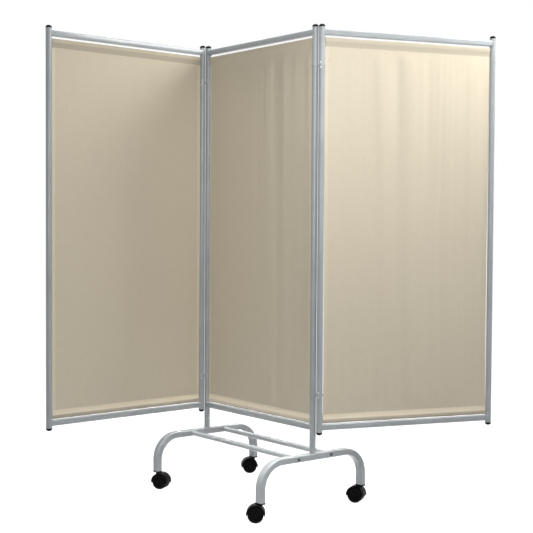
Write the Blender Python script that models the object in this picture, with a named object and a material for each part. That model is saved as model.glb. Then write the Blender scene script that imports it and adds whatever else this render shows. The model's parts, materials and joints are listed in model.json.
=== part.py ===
"""Three-panel privacy screen on a wheeled stand.

The centre panel is carried by two uprights, which slip over spigots on a pair of bent-tube legs. A wing
hangs at each side on figure-of-eight hinge links, so that it can fold flat against either face of the
centre panel. Metres, +Z up, the front is -Y. The screen stands with its left wing folded to the front and
its right wing to the back.
"""

import math

import bmesh
import bpy
from mathutils import Matrix, Vector

# Driving sizes of the frames
POST_TOP = 1.727
WING_POST_BOTTOM = 0.287
CENTRE_WIDTH = 0.647
WING_WIDTH = 0.692
POST_DIAMETER = 0.022
POST_WALL = 0.0012
RAIL_SIZE = 0.020
RAIL_WALL = 0.0012
RAIL_CORNER = 0.0025
RAIL_INSET = 0.0085
RAIL_START_SHARE = 0.62

# How far the wings stand open, as bends away from one straight line, and how much of it the links take
LEFT_BEND = math.radians(92.0)
RIGHT_BEND = math.radians(71.6)
LINK_BENDS = {"left": math.radians(70.0), "right": math.radians(35.8)}

# Hinge links: flat figure-of-eight straps round two neighbouring posts
POST_GAP = 0.002
HINGE_INSET = 0.1345
STRAP_HEIGHT = 0.0084
STRAP_WALL = 0.0015
STRAP_WAIST = 0.013
KEEPER_SPACING = 0.0160
KEEPER_DIAMETER = 0.0066
KEEPER_HEIGHT = 0.0015
KEEPER_SHANK = 0.0030
CENTRE_KEEPER_HEADING = math.radians(135.0)
WING_KEEPER_HEADINGS = {"left": math.radians(45.0), "right": math.radians(-135.0)}

# Clearances
SEAT_GAP = 0.0003
FIT_GAP = 0.0003
CUT_OVERRUN = 0.004
WELD_DEPTH = 0.0003

# Cloth panels on their two rods
ROD_DIAMETER = 0.006
ROD_SEAT = 0.0035
CLOTH_THICKNESS = 0.0012
CLOTH_TOP_GAP = 0.0075
CLOTH_BOTTOM_GAP = 0.0030
CLOTH_SIDE_GAP = 0.0030
CASING_HEIGHT = 0.032
POCKET_EASE = 0.0006
FOLD_DEPTH = 0.0055
FOLD_COUNT = 3.0

# Stand legs and spreader bars
LEG_WIDTH = 0.031
LEG_HEIGHT = 0.022
LEG_CORNER = 0.003
LEG_WALL = 0.0016
LEG_HALF_DEPTH = 0.2365
LEG_CROWN = 0.2110
LEG_END = 0.0676
LEG_BEND_RADIUS = 0.088
SPIGOT_WALL = 0.0015
SPIGOT_HEIGHT = 0.065
SPIGOT_SCREW_HEIGHT = 0.037
SPIGOT_SCREW_DIAMETER = 0.0085
SPIGOT_SCREW_HEAD = 0.0026
SPIGOT_SCREW_SHANK = 0.0036
SCREW_STANDOFF = 0.0002
BAR_DIAMETER = 0.019
BAR_WALL = 0.0012
BAR_HALF_SPACING = 0.0765
INSERT_LENGTH = 0.022
BOLT_DIAMETER = 0.006
BOLT_HEAD_DIAMETER = 0.0125
BOLT_HEAD_HEIGHT = 0.0048
BOLT_REACH = 0.016

# Black plastic parts
CAP_DOME = 0.0085
CAP_FLANGE = 0.0015
CAP_LIP = 0.0003
CAP_PLUG = 0.013
SOCKET_FLANGE = 0.0034
SOCKET_LIP = 0.0008
SOCKET_PLUG = 0.030
STEM_DIAMETER = 0.011
STEM_LENGTH = 0.026
NECK_DIAMETER = 0.013

# Twin-wheel casters
WHEEL_DIAMETER = 0.057
WHEEL_WIDTH = 0.0205
HOOD_DIAMETER = 0.067
HOOD_WALL = 0.0026
HOOD_WIDTH = 0.045
HOOD_LAP = math.radians(7.0)
WEB_WIDTH = 0.005
WHEEL_SIDE_GAP = 0.0005
AXLE_DIAMETER = 0.006
HUB_DIAMETER = 0.016
RIM_WIDTH = 0.0045
DISH_DEPTH = 0.003
TREAD_ROUND = 0.0022
CASTER_TRAIL = 0.016
CASTER_HEADINGS = {
    "front_left": math.radians(30.0),
    "front_right": math.radians(229.0),
    "rear_left": math.radians(238.0),
    "rear_right": math.radians(208.0),
}

# How finely round shapes are cut into flats
TUBE_SIDES = 16
CORNER_STEPS = 2
SMALL_SIDES = 8
WHEEL_SIDES = 20
CUTTER_SIDES = 24
BEND_STEPS = 6
DOME_STEPS = 3
HOOD_STEPS = 12
CASING_STEPS = 3
CLOTH_COLUMNS = 20
CLOTH_ROWS = 4

# Sizes that follow from the driving ones
POST_RADIUS = POST_DIAMETER / 2
POST_BORE = POST_RADIUS - POST_WALL
LINK_LENGTH = POST_DIAMETER + POST_GAP
LEG_FACE = LEG_WIDTH / 2
LEG_AXIS_HEIGHT = LEG_CROWN - LEG_HEIGHT / 2
ROD_RADIUS = ROD_DIAMETER / 2
TOP_RAIL_HEIGHT = POST_TOP - RAIL_INSET - RAIL_SIZE / 2
BOTTOM_RAIL_HEIGHT = WING_POST_BOTTOM + RAIL_INSET + RAIL_SIZE / 2
CLOTH_TOP = TOP_RAIL_HEIGHT - RAIL_SIZE / 2 - CLOTH_TOP_GAP
CLOTH_BOTTOM = BOTTOM_RAIL_HEIGHT + RAIL_SIZE / 2 + CLOTH_BOTTOM_GAP
ROD_DROP = CLOTH_THICKNESS + POCKET_EASE + ROD_RADIUS
HINGE_HEIGHTS = {"upper": POST_TOP - HINGE_INSET, "lower": WING_POST_BOTTOM + HINGE_INSET}
WHEEL_RADIUS = WHEEL_DIAMETER / 2
AXLE_HEIGHT = WHEEL_RADIUS * math.cos(math.pi / WHEEL_SIDES)
HOOD_RADIUS = HOOD_DIAMETER / 2
SOCKET_BOTTOM = LEG_END - SEAT_GAP - SOCKET_FLANGE


def clear_scene():
    """Remove whatever the file holds before building."""
    for old in list(bpy.data.objects):
        bpy.data.objects.remove(old)


def make_material(name, colour, metallic, roughness):
    """A plain Principled surface."""
    material = bpy.data.materials.new(name)
    material.use_nodes = True
    shader = material.node_tree.nodes["Principled BSDF"]
    shader.inputs["Base Color"].default_value = (*colour, 1.0)
    shader.inputs["Metallic"].default_value = metallic
    shader.inputs["Roughness"].default_value = roughness
    material.diffuse_color = (*colour, 1.0)
    return material


def finish_mesh(bm, name):
    """Turn a bmesh into a mesh with its faces pointing out."""
    bmesh.ops.recalc_face_normals(bm, faces=bm.faces)
    mesh = bpy.data.meshes.new(name)
    bm.to_mesh(mesh)
    bm.free()
    return mesh


def circle_points(radius, sides, start=0.0):
    """Points of a regular outline in the XY plane."""
    turns = [start + math.tau * step / sides for step in range(sides)]
    return [Vector((radius * math.cos(turn), radius * math.sin(turn))) for turn in turns]


def arc_points(centre, radius, first, last, steps):
    """Points along an arc, both ends included."""
    angles = [first + (last - first) * step / steps for step in range(steps + 1)]
    middle = Vector(centre)
    return [middle + Vector((radius * math.cos(angle), radius * math.sin(angle))) for angle in angles]


def rounded_rectangle(width, height, corner, steps):
    """Outline of a rectangular tube with rounded corners."""
    points = []
    for quarter in range(4):
        angle = math.pi / 2 * quarter
        centre = (
            (width / 2 - corner) * (1 if quarter in (0, 3) else -1),
            (height / 2 - corner) * (1 if quarter in (0, 1) else -1),
        )
        points += arc_points(centre, corner, angle, angle + math.pi / 2, steps)
    return points


def prism(outline, low, high, name="prism"):
    """A solid outline pushed out along Z."""
    bm = bmesh.new()
    base = bm.faces.new([bm.verts.new((point[0], point[1], low)) for point in outline])
    pushed = bmesh.ops.extrude_face_region(bm, geom=[base])
    moved = [item for item in pushed["geom"] if isinstance(item, bmesh.types.BMVert)]
    bmesh.ops.translate(bm, verts=moved, vec=(0.0, 0.0, high - low))
    return finish_mesh(bm, name)


def hollow_prism(outer, inner, low, high, name="tube", outer_rings=(), inner_rings=()):
    """A tube along Z between two outlines with the same number of points.

    Rings are heights at which its long flats are divided, so that a small hole or screw meets a short flat.
    """
    bm = bmesh.new()
    outside = [low] + sorted(outer_rings) + [high]
    inside = [high] + sorted(inner_rings, reverse=True) + [low]
    loops = []
    for outline, heights in ((outer, outside), (inner, inside)):
        for height in heights:
            loops.append([bm.verts.new((point[0], point[1], height)) for point in outline])
    count = len(outer)
    for index in range(len(loops)):
        here = loops[index]
        there = loops[(index + 1) % len(loops)]
        for point in range(count):
            following = (point + 1) % count
            bm.faces.new((here[point], here[following], there[following], there[point]))
    return finish_mesh(bm, name)


def turned(profile, sides, name="turned", start=0.0):
    """A closed outline of (radius, height) points spun round Z."""
    bm = bmesh.new()
    turn = Matrix.Rotation(start, 4, "Z")
    verts = [bm.verts.new(turn @ Vector((radius, 0.0, height))) for radius, height in profile]
    edges = [bm.edges.new((verts[index], verts[(index + 1) % len(verts)])) for index in range(len(verts))]
    on_axis = [edge for edge in edges if max(abs(vert.co.xy.length) for vert in edge.verts) == 0.0]
    for edge in on_axis:
        edges.remove(edge)
        bm.edges.remove(edge)
    bmesh.ops.spin(
        bm,
        geom=verts + edges,
        axis=(0.0, 0.0, 1.0),
        cent=(0.0, 0.0, 0.0),
        dvec=(0.0, 0.0, 0.0),
        angle=math.tau,
        steps=sides,
        use_merge=True,
        use_duplicate=False,
    )
    bmesh.ops.remove_doubles(bm, verts=bm.verts, dist=SEAT_GAP / 100)
    return finish_mesh(bm, name)


def rod_along(axis, radius, low, high, sides, centre=(0.0, 0.0, 0.0)):
    """A plain round bar along X, Y or Z."""
    mesh = prism(circle_points(radius, sides, math.pi / sides), low, high)
    turns = {
        "X": Matrix.Rotation(math.pi / 2, 4, "Y"),
        "Y": Matrix.Rotation(-math.pi / 2, 4, "X"),
        "Z": Matrix.Identity(4),
    }
    mesh.transform(Matrix.Translation(centre) @ turns[axis])
    return mesh


def combine(base, tool, operation):
    """Join, cut or cross two meshes with an exact Boolean and return the new mesh."""
    holder = bpy.data.objects.new("holder", base)
    cutter = bpy.data.objects.new("cutter", tool)
    for item in (holder, cutter):
        bpy.context.scene.collection.objects.link(item)
    modifier = holder.modifiers.new("Boolean", "BOOLEAN")
    modifier.operation = operation
    modifier.solver = "EXACT"
    modifier.object = cutter
    depsgraph = bpy.context.evaluated_depsgraph_get()
    result = bpy.data.meshes.new_from_object(holder.evaluated_get(depsgraph))
    name = base.name
    for item in (holder, cutter):
        bpy.data.objects.remove(item)
    for mesh in (base, tool):
        bpy.data.meshes.remove(mesh)
    result.name = name
    return result


def cut(base, *tools):
    """Take several tools out of a mesh."""
    for tool in tools:
        base = combine(base, tool, "DIFFERENCE")
    return base


def fuse(base, *tools):
    """Weld several meshes into one body."""
    for tool in tools:
        base = combine(base, tool, "UNION")
    return base


def place(name, mesh, material, parent, location=(0.0, 0.0, 0.0), heading=0.0, smooth=True):
    """Put a mesh into the scene as a named object under its parent."""
    mesh.materials.clear()
    mesh.materials.append(material)
    if smooth:
        mesh.shade_smooth()
        mesh.set_sharp_from_angle(angle=math.radians(35.0))
    item = bpy.data.objects.new(name, mesh)
    bpy.context.scene.collection.objects.link(item)
    item.parent = parent
    item.location = location
    item.rotation_euler = (0.0, 0.0, heading)
    return item


def make_empty(name, parent=None, location=(0.0, 0.0, 0.0), heading=0.0):
    """A guide that carries the pieces of one moving body."""
    empty = bpy.data.objects.new(name, None)
    empty.empty_display_size = POST_DIAMETER
    bpy.context.scene.collection.objects.link(empty)
    empty.parent = parent
    empty.location = location
    empty.rotation_euler = (0.0, 0.0, heading)
    return empty


def low_dome(radius, height, steps):
    """Outline points of a dome from its rim to its crown."""
    angles = [math.pi / 2 * step / steps for step in range(steps + 1)]
    points = [(radius * math.cos(angle), height * math.sin(angle)) for angle in angles]
    points[-1] = (0.0, height)
    return points


def screw_mesh(diameter, height, shank):
    """A low domed head that stands on the XY plane, with its shank rooted in the tube wall below it."""
    radius = diameter / 2
    neck = shank / 2
    root = -SCREW_STANDOFF - POST_WALL / 2
    profile = [(0.0, root), (neck, root), (neck, 0.0)]
    return turned(profile + low_dome(radius, height, 2), SMALL_SIDES, "screw", math.pi / SMALL_SIDES)


def screw_on_post(height, heading, diameter, head_height, shank):
    """A screw in the wall of a post at the given height and heading."""
    mesh = screw_mesh(diameter, head_height, shank)
    lay = Matrix.Rotation(heading, 4, "Z") @ Matrix.Rotation(math.pi / 2, 4, "Y")
    flat = POST_RADIUS * math.cos(math.pi / TUBE_SIDES)
    out = Vector((math.cos(heading), math.sin(heading), 0.0)) * (flat + SCREW_STANDOFF)
    mesh.transform(Matrix.Translation(out + Vector((0.0, 0.0, height))) @ lay)
    return mesh


def keeper_heads(heading):
    """The heads above and below each hinge strap that keep it at its height."""
    heads = []
    for hinge_height in HINGE_HEIGHTS.values():
        for side in (-1, 1):
            height = hinge_height + side * KEEPER_SPACING / 2
            heads.append(screw_on_post(height, heading, KEEPER_DIAMETER, KEEPER_HEIGHT, KEEPER_SHANK))
    return heads


def rod_holes(heading):
    """Cutters for the two rod seats in the inner side of a post."""
    holes = []
    for height in (CLOTH_TOP - ROD_DROP, CLOTH_BOTTOM + ROD_DROP):
        hole = rod_along("X", ROD_RADIUS + FIT_GAP, 0.0, POST_RADIUS + CUT_OVERRUN, SMALL_SIDES)
        hole.transform(Matrix.Translation((0.0, 0.0, height)) @ Matrix.Rotation(heading, 4, "Z"))
        holes.append(hole)
    return holes


def post_mesh(bottom, rod_heading, keeper_heading=None, extra_rings=()):
    """A round post tube with its rod seats and hinge keepers."""
    seat_rings = (CLOTH_TOP - ROD_DROP - ROD_DIAMETER, CLOTH_BOTTOM + ROD_DROP + ROD_DIAMETER)
    keeper_rings = []
    if keeper_heading is not None:
        for hinge_height in HINGE_HEIGHTS.values():
            keeper_rings += [hinge_height - KEEPER_SPACING, hinge_height + KEEPER_SPACING]
    mesh = hollow_prism(
        circle_points(POST_RADIUS, TUBE_SIDES, math.pi / TUBE_SIDES),
        circle_points(POST_BORE, TUBE_SIDES, math.pi / TUBE_SIDES),
        bottom,
        POST_TOP,
        "post",
        [*seat_rings, *keeper_rings, *extra_rings],
        seat_rings,
    )
    mesh = cut(mesh, *rod_holes(rod_heading))
    if keeper_heading is not None:
        mesh = fuse(mesh, *keeper_heads(keeper_heading))
    return mesh


def rail_mesh(width):
    """A square rail tube whose ends are coped round the posts it is welded to."""
    reach = POST_RADIUS * RAIL_START_SHARE
    mesh = hollow_prism(
        rounded_rectangle(RAIL_SIZE, RAIL_SIZE, RAIL_CORNER, 1),
        rounded_rectangle(RAIL_SIZE - 2 * RAIL_WALL, RAIL_SIZE - 2 * RAIL_WALL, RAIL_CORNER - RAIL_WALL, 1),
        reach,
        width - reach,
        "rail",
    )
    mesh.transform(Matrix.Rotation(math.pi / 2, 4, "Y"))
    for end in (0.0, width):
        half = RAIL_SIZE / 2 + CUT_OVERRUN
        tool = rod_along("Z", POST_RADIUS + SEAT_GAP, -half, half, CUTTER_SIDES, (end, 0.0, 0.0))
        mesh = cut(mesh, tool)
    return mesh


def rod_mesh(width):
    """A thin rod that reaches into the seats of both posts."""
    start = POST_RADIUS - POST_WALL - ROD_SEAT
    return rod_along("X", ROD_RADIUS, start, width - start, SMALL_SIDES)


def cap_mesh():
    """A domed end cap with its plug; the tube end is at the height zero."""
    rim = POST_RADIUS + CAP_LIP
    plug = POST_BORE - FIT_GAP
    base = SEAT_GAP + CAP_FLANGE
    dome = [(radius, base + rise) for radius, rise in low_dome(rim, CAP_DOME, DOME_STEPS)]
    profile = [(0.0, -CAP_PLUG), (plug, -CAP_PLUG), (plug, SEAT_GAP), (rim, SEAT_GAP)] + dome
    return turned(profile, TUBE_SIDES, "cap", math.pi / TUBE_SIDES)


def pocket_outline():
    """Outer and inner points of the upper casing, seen end on, from its seam round the rod and back.

    Each point is (across the cloth, below the cloth's top edge). The first and last outer points are the two
    faces of the single cloth below the seam.
    """
    half = CLOTH_THICKNESS / 2
    inner_radius = ROD_RADIUS + POCKET_EASE
    outer_radius = inner_radius + CLOTH_THICKNESS
    outer = [(-half, CASING_HEIGHT)]
    inner = [(-half / 2, CASING_HEIGHT - CLOTH_THICKNESS * 2)]
    for step in range(CASING_STEPS + 1):
        angle = math.pi - math.pi * step / CASING_STEPS
        outer.append((outer_radius * math.cos(angle), outer_radius * (1 - math.sin(angle))))
        inner.append((inner_radius * math.cos(angle), outer_radius - inner_radius * math.sin(angle)))
    outer.append((half, CASING_HEIGHT))
    inner.append((half / 2, CASING_HEIGHT - CLOTH_THICKNESS * 2))
    return outer, inner


def cloth_mesh(width, phase):
    """A hanging cloth panel: a casing round each rod and soft upright folds between them."""
    left = POST_RADIUS + CLOTH_SIDE_GAP
    right = width - left
    outer, inner = pocket_outline()
    middle = (CLOTH_TOP + CLOTH_BOTTOM) / 2
    drop = CLOTH_TOP - CLOTH_BOTTOM - 2 * CASING_HEIGHT

    def fold(share_across, share_down):
        """How far the cloth stands off its plane."""
        swell = math.sin(math.pi * share_down) ** 0.7 if 0.0 < share_down < 1.0 else 0.0
        wave = math.cos(math.tau * FOLD_COUNT * share_across + phase)
        drift = math.cos(math.tau * (share_across + share_down / 2) + 2 * phase)
        return FOLD_DEPTH * swell * (0.75 * wave + 0.25 * drift)

    bm = bmesh.new()
    columns = []
    for column in range(CLOTH_COLUMNS + 1):
        share = column / CLOTH_COLUMNS
        x = left + (right - left) * share
        rings = []
        for side in (1, -1):
            for outline in (outer, inner):
                height = [middle + side * (CLOTH_TOP - middle - below) for _, below in outline]
                rings.append([bm.verts.new((x, across, z)) for (across, _), z in zip(outline, height)])
        faces = []
        for face_side in (-1, 1):
            line = [rings[0][0 if face_side < 0 else -1]]
            for row in range(1, CLOTH_ROWS + 1):
                down = row / (CLOTH_ROWS + 1)
                z = CLOTH_TOP - CASING_HEIGHT - drop * down
                across = fold(share, down) + face_side * CLOTH_THICKNESS / 2
                line.append(bm.verts.new((x, across, z)))
            line.append(rings[2][0 if face_side < 0 else -1])
            faces.append(line)
        columns.append((rings, faces))
    join = bm.faces.new
    for here, there in zip(columns, columns[1:]):
        for which in range(4):
            ring_here = here[0][which]
            ring_there = there[0][which]
            count = len(ring_here)
            spans = count if which in (1, 3) else count - 1
            for point in range(spans):
                following = (point + 1) % count
                join((ring_here[point], ring_here[following], ring_there[following], ring_there[point]))
        for which in range(2):
            for row in range(CLOTH_ROWS + 1):
                here_line = here[1][which]
                there_line = there[1][which]
                join((here_line[row], here_line[row + 1], there_line[row + 1], there_line[row]))
    for rings, faces in (columns[0], columns[-1]):
        for outer_ring, inner_ring in ((rings[0], rings[1]), (rings[2], rings[3])):
            count = len(outer_ring)
            for point in range(count):
                following = (point + 1) % count
                join((outer_ring[point], outer_ring[following], inner_ring[following], inner_ring[point]))
        for row in range(CLOTH_ROWS + 1):
            join((faces[0][row], faces[0][row + 1], faces[1][row + 1], faces[1][row]))
    return finish_mesh(bm, "cloth")


def strap_mesh():
    """A figure-of-eight strap: two rings round neighbouring posts that share one waist."""
    ring = POST_RADIUS + FIT_GAP + STRAP_WALL
    half = STRAP_HEIGHT / 2
    first = rod_along("Z", ring, -half, half, TUBE_SIDES)
    second = rod_along("Z", ring, -half, half, TUBE_SIDES, (LINK_LENGTH, 0.0, 0.0))
    corners = ((-1, -1), (1, -1), (1, 1), (-1, 1))
    outline = [(LINK_LENGTH / 2 + side * ring / 3, end * STRAP_WAIST / 2) for side, end in corners]
    waist = prism(outline, -half, half)
    mesh = fuse(first, second, waist)
    bore = (POST_RADIUS + FIT_GAP) / math.cos(math.pi / TUBE_SIDES)
    for centre in (0.0, LINK_LENGTH):
        spot = (centre, 0.0, 0.0)
        mesh = cut(mesh, rod_along("Z", bore, -STRAP_HEIGHT, STRAP_HEIGHT, TUBE_SIDES, spot))
    return mesh


def leg_path():
    """Centre line of a leg in the YZ plane: up, round, across, round and down."""
    corner = LEG_HALF_DEPTH - LEG_BEND_RADIUS
    bend_height = LEG_AXIS_HEIGHT - LEG_BEND_RADIUS
    rear = arc_points((corner, bend_height), LEG_BEND_RADIUS, 0.0, math.pi / 2, BEND_STEPS)
    front = arc_points((-corner, bend_height), LEG_BEND_RADIUS, math.pi / 2, math.pi, BEND_STEPS)
    points = [Vector((LEG_HALF_DEPTH, LEG_END))] + rear + front + [Vector((-LEG_HALF_DEPTH, LEG_END))]
    rear_turns = [math.pi / 2 * step / BEND_STEPS for step in range(BEND_STEPS + 1)]
    front_turns = [math.pi / 2 + turn for turn in rear_turns]
    return list(zip(points, [0.0] + rear_turns + front_turns + [math.pi]))


def leg_section(inset):
    """Outline of the leg tube: its first coordinate lies in the plane of the bends, its second across."""
    corner = max(LEG_CORNER - inset, LEG_CORNER / 4)
    return rounded_rectangle(LEG_HEIGHT - 2 * inset, LEG_WIDTH - 2 * inset, corner, CORNER_STEPS)


def leg_turned(inset):
    """The leg's outline as it stands on the floor at its ends: X across the leg, Y along the stand."""
    return [Vector((point.y, point.x)) for point in reversed(leg_section(inset))]


def leg_mesh():
    """A bent rectangular tube with its bolt holes and a welded spigot, on which its upright is screwed."""
    bm = bmesh.new()
    loops = []
    sides = len(leg_section(0.0))
    for point, turn in leg_path():
        outward = Vector((0.0, math.cos(turn), math.sin(turn)))
        centre = Vector((0.0, point[0], point[1]))
        pair = []
        for inset in (0.0, LEG_WALL):
            ring = []
            for spot in leg_section(inset):
                ring.append(bm.verts.new(centre + outward * spot[0] + Vector((spot[1], 0.0, 0.0))))
            pair.append(ring)
        loops.append(pair)
    for here, there in zip(loops, loops[1:]):
        for near, far in zip(here, there):
            for point in range(sides):
                following = (point + 1) % sides
                bm.faces.new((near[point], near[following], far[following], far[point]))
    for outer, inner in (loops[0], loops[-1]):
        for point in range(sides):
            following = (point + 1) % sides
            bm.faces.new((outer[point], outer[following], inner[following], inner[point]))
    mesh = finish_mesh(bm, "leg")
    spigot_radius = POST_BORE - FIT_GAP
    spigot = hollow_prism(
        circle_points(spigot_radius, TUBE_SIDES, math.pi / TUBE_SIDES),
        circle_points(spigot_radius - SPIGOT_WALL, TUBE_SIDES, math.pi / TUBE_SIDES),
        LEG_CROWN - 2 * LEG_WALL,
        LEG_CROWN + SPIGOT_HEIGHT,
    )
    mesh = fuse(mesh, spigot)
    reach = LEG_FACE + CUT_OVERRUN
    for side in (-1, 1):
        spot = (0.0, side * BAR_HALF_SPACING, LEG_AXIS_HEIGHT)
        mesh = cut(mesh, rod_along("X", BOLT_DIAMETER / 2 + FIT_GAP, -reach, reach, SMALL_SIDES, spot))
    return mesh


def upright_mesh(inner_side, keeper_heading):
    """A centre post that slips over the leg's spigot, stands on the leg and is pinned by a screw."""
    inward = 0.0 if inner_side > 0 else math.pi
    screw_ring = LEG_CROWN + SPIGOT_SCREW_HEIGHT + SPIGOT_SCREW_DIAMETER
    mesh = post_mesh(LEG_CROWN + SEAT_GAP, inward, keeper_heading, [screw_ring])
    height = LEG_CROWN + SPIGOT_SCREW_HEIGHT
    return fuse(
        mesh, screw_on_post(height, inward, SPIGOT_SCREW_DIAMETER, SPIGOT_SCREW_HEAD, SPIGOT_SCREW_SHANK)
    )


def bar_mesh(length):
    """A spreader bar: a tube with a threaded insert in each end, cut square against the legs."""
    radius = BAR_DIAMETER / 2
    start = LEG_FACE + SEAT_GAP
    thread = BOLT_DIAMETER / 2 + FIT_GAP
    inner = radius - BAR_WALL
    stop = length - start
    profile = [
        (thread, start),
        (radius, start),
        (radius, stop),
        (thread, stop),
        (thread, stop - INSERT_LENGTH),
        (inner, stop - INSERT_LENGTH),
        (inner, start + INSERT_LENGTH),
        (thread, start + INSERT_LENGTH),
    ]
    mesh = turned(profile, TUBE_SIDES, "bar", math.pi / TUBE_SIDES)
    mesh.transform(Matrix.Rotation(math.pi / 2, 4, "Y"))
    return mesh


def bolt_mesh():
    """A domed bolt along X that passes through the leg into the bar; its head is on the -X side."""
    head_base = LEG_FACE + SEAT_GAP
    radius = BOLT_DIAMETER / 2
    head = [(rim, head_base + rise) for rim, rise in low_dome(BOLT_HEAD_DIAMETER / 2, BOLT_HEAD_HEIGHT, 3)]
    tip = -LEG_FACE - BOLT_REACH
    profile = [(0.0, tip), (radius, tip), (radius, head_base)] + head
    mesh = turned(profile, SMALL_SIDES, "bolt", math.pi / SMALL_SIDES)
    mesh.transform(Matrix.Rotation(-math.pi / 2, 4, "Y"))
    return mesh


def socket_mesh():
    """The stem socket in a leg's end: a plug with a flange and a bore for the caster stem."""
    flange = prism(leg_turned(-SOCKET_LIP), SOCKET_BOTTOM, LEG_END - SEAT_GAP, "socket")
    plug = prism(leg_turned(LEG_WALL + FIT_GAP), LEG_END - SOCKET_FLANGE / 2, LEG_END + SOCKET_PLUG)
    low = SOCKET_BOTTOM - CUT_OVERRUN
    high = LEG_END + SOCKET_PLUG + CUT_OVERRUN
    bore = rod_along("Z", STEM_DIAMETER / 2 + FIT_GAP, low, high, TUBE_SIDES)
    return cut(fuse(flange, plug), bore)


def hood_mesh():
    """A caster hood with its web, axle, neck and stem. The stem stands on the origin, the axle lies at +X."""
    lapped = (-HOOD_LAP, math.pi + HOOD_LAP, HOOD_STEPS)
    drum = prism(arc_points((0.0, 0.0), HOOD_RADIUS, *lapped), -HOOD_WIDTH / 2, HOOD_WIDTH / 2)
    lay = Matrix.Translation((CASTER_TRAIL, 0.0, AXLE_HEIGHT)) @ Matrix.Rotation(math.pi / 2, 4, "X")
    drum.transform(lay)
    neck_top = SOCKET_BOTTOM - SEAT_GAP
    neck = rod_along("Z", NECK_DIAMETER / 2, AXLE_HEIGHT + WEB_WIDTH, neck_top, TUBE_SIDES)
    mesh = fuse(drum, neck)
    axle_spot = (CASTER_TRAIL, 0.0, AXLE_HEIGHT)
    well = HOOD_RADIUS - HOOD_WALL
    mesh = cut(mesh, rod_along("Y", well, -HOOD_WIDTH, HOOD_WIDTH, CUTTER_SIDES, axle_spot))
    web_radius = HOOD_RADIUS - HOOD_WALL / 2
    web = prism(arc_points((0.0, 0.0), web_radius, *lapped), -WEB_WIDTH / 2, WEB_WIDTH / 2)
    web.transform(lay)
    hub_half = WEB_WIDTH / 2 - WELD_DEPTH
    hub = rod_along("Y", HUB_DIAMETER / 2, -hub_half, hub_half, TUBE_SIDES, axle_spot)
    axle_half = WEB_WIDTH / 2 + WHEEL_SIDE_GAP + WHEEL_WIDTH - DISH_DEPTH / 2
    axle = rod_along("Y", AXLE_DIAMETER / 2, -axle_half, axle_half, SMALL_SIDES, axle_spot)
    stem = rod_along("Z", STEM_DIAMETER / 2, neck_top - NECK_DIAMETER / 2, neck_top + STEM_LENGTH, TUBE_SIDES)
    return fuse(mesh, web, hub, axle, stem)


def wheel_mesh():
    """One wheel about Z: a rounded tread, a dished outer face and a bored hub; the inner face is at zero."""
    bore = AXLE_DIAMETER / 2 + FIT_GAP
    hub = HUB_DIAMETER / 2
    dish = WHEEL_RADIUS - RIM_WIDTH
    profile = [
        (bore, 0.0),
        (WHEEL_RADIUS - TREAD_ROUND, 0.0),
        (WHEEL_RADIUS, TREAD_ROUND),
        (WHEEL_RADIUS, WHEEL_WIDTH - 2 * TREAD_ROUND),
        (dish, WHEEL_WIDTH),
        (dish - DISH_DEPTH, WHEEL_WIDTH - DISH_DEPTH),
        (hub + DISH_DEPTH, WHEEL_WIDTH - DISH_DEPTH),
        (hub, WHEEL_WIDTH - DISH_DEPTH / 2),
        (bore, WHEEL_WIDTH - DISH_DEPTH / 2),
    ]
    return turned(profile, WHEEL_SIDES, "wheel", math.pi / WHEEL_SIDES)


def build_panel(prefix, parent, width, materials, phase, location=(0.0, 0.0, 0.0)):
    """The rails, rods and cloth between two posts; x runs from one post's axis to the other's."""
    x, y, _ = location
    rails = rail_mesh(width)
    rods = rod_mesh(width)
    heights = {
        "top": (TOP_RAIL_HEIGHT, CLOTH_TOP - ROD_DROP),
        "bottom": (BOTTOM_RAIL_HEIGHT, CLOTH_BOTTOM + ROD_DROP),
    }
    for level, (rail_height, rod_height) in heights.items():
        place(f"{prefix}_rail_{level}", rails, materials["frame"], parent, (x, y, rail_height))
        place(f"{prefix}_rod_{level}", rods, materials["steel"], parent, (x, y, rod_height))
    place(f"{prefix}_fabric", cloth_mesh(width, phase), materials["cloth"], parent, (x, y, 0.0))


def build_cap(name, parent, mesh, material, location, upside_down=False):
    """An end cap on a tube end."""
    item = place(name, mesh, material, parent, location)
    if upside_down:
        item.rotation_euler = (math.pi, 0.0, 0.0)
    return item


def build_wing(side, parent, keeper_heading, materials, cap, phase):
    """One wing; its empty stands on the inner post's axis and looks along the panel."""
    posts = {"inner": (0.0, 0.0, keeper_heading), "outer": (WING_WIDTH, math.pi, None)}
    for which, (x, rod_heading, keeper) in posts.items():
        mesh = post_mesh(WING_POST_BOTTOM, rod_heading, keeper)
        place(f"{side}_wing_{which}_post", mesh, materials["frame"], parent, (x, 0.0, 0.0))
        black = materials["plastic"]
        build_cap(f"{side}_wing_{which}_cap_top", parent, cap, black, (x, 0.0, POST_TOP))
        build_cap(f"{side}_wing_{which}_cap_bottom", parent, cap, black, (x, 0.0, WING_POST_BOTTOM), True)
    build_panel(f"{side}_wing", parent, WING_WIDTH, materials, phase)


def build_hinge(side, stand, bend, materials, cap, phase):
    """The links and the wing on one side of the centre panel."""
    sign = -1 if side == "left" else 1
    straight = math.pi if side == "left" else 0.0
    link_bend = LINK_BENDS[side]
    link = make_empty(f"{side}_link", stand, (sign * CENTRE_WIDTH / 2, 0.0, 0.0), straight + link_bend)
    straps = strap_mesh()
    for level, height in HINGE_HEIGHTS.items():
        place(f"{side}_hinge_link_{level}", straps, materials["frame"], link, (0.0, 0.0, height))
    wing = make_empty(f"{side}_wing", link, (LINK_LENGTH, 0.0, 0.0), bend - link_bend)
    build_wing(side, wing, WING_KEEPER_HEADINGS[side], materials, cap, phase)


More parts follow.
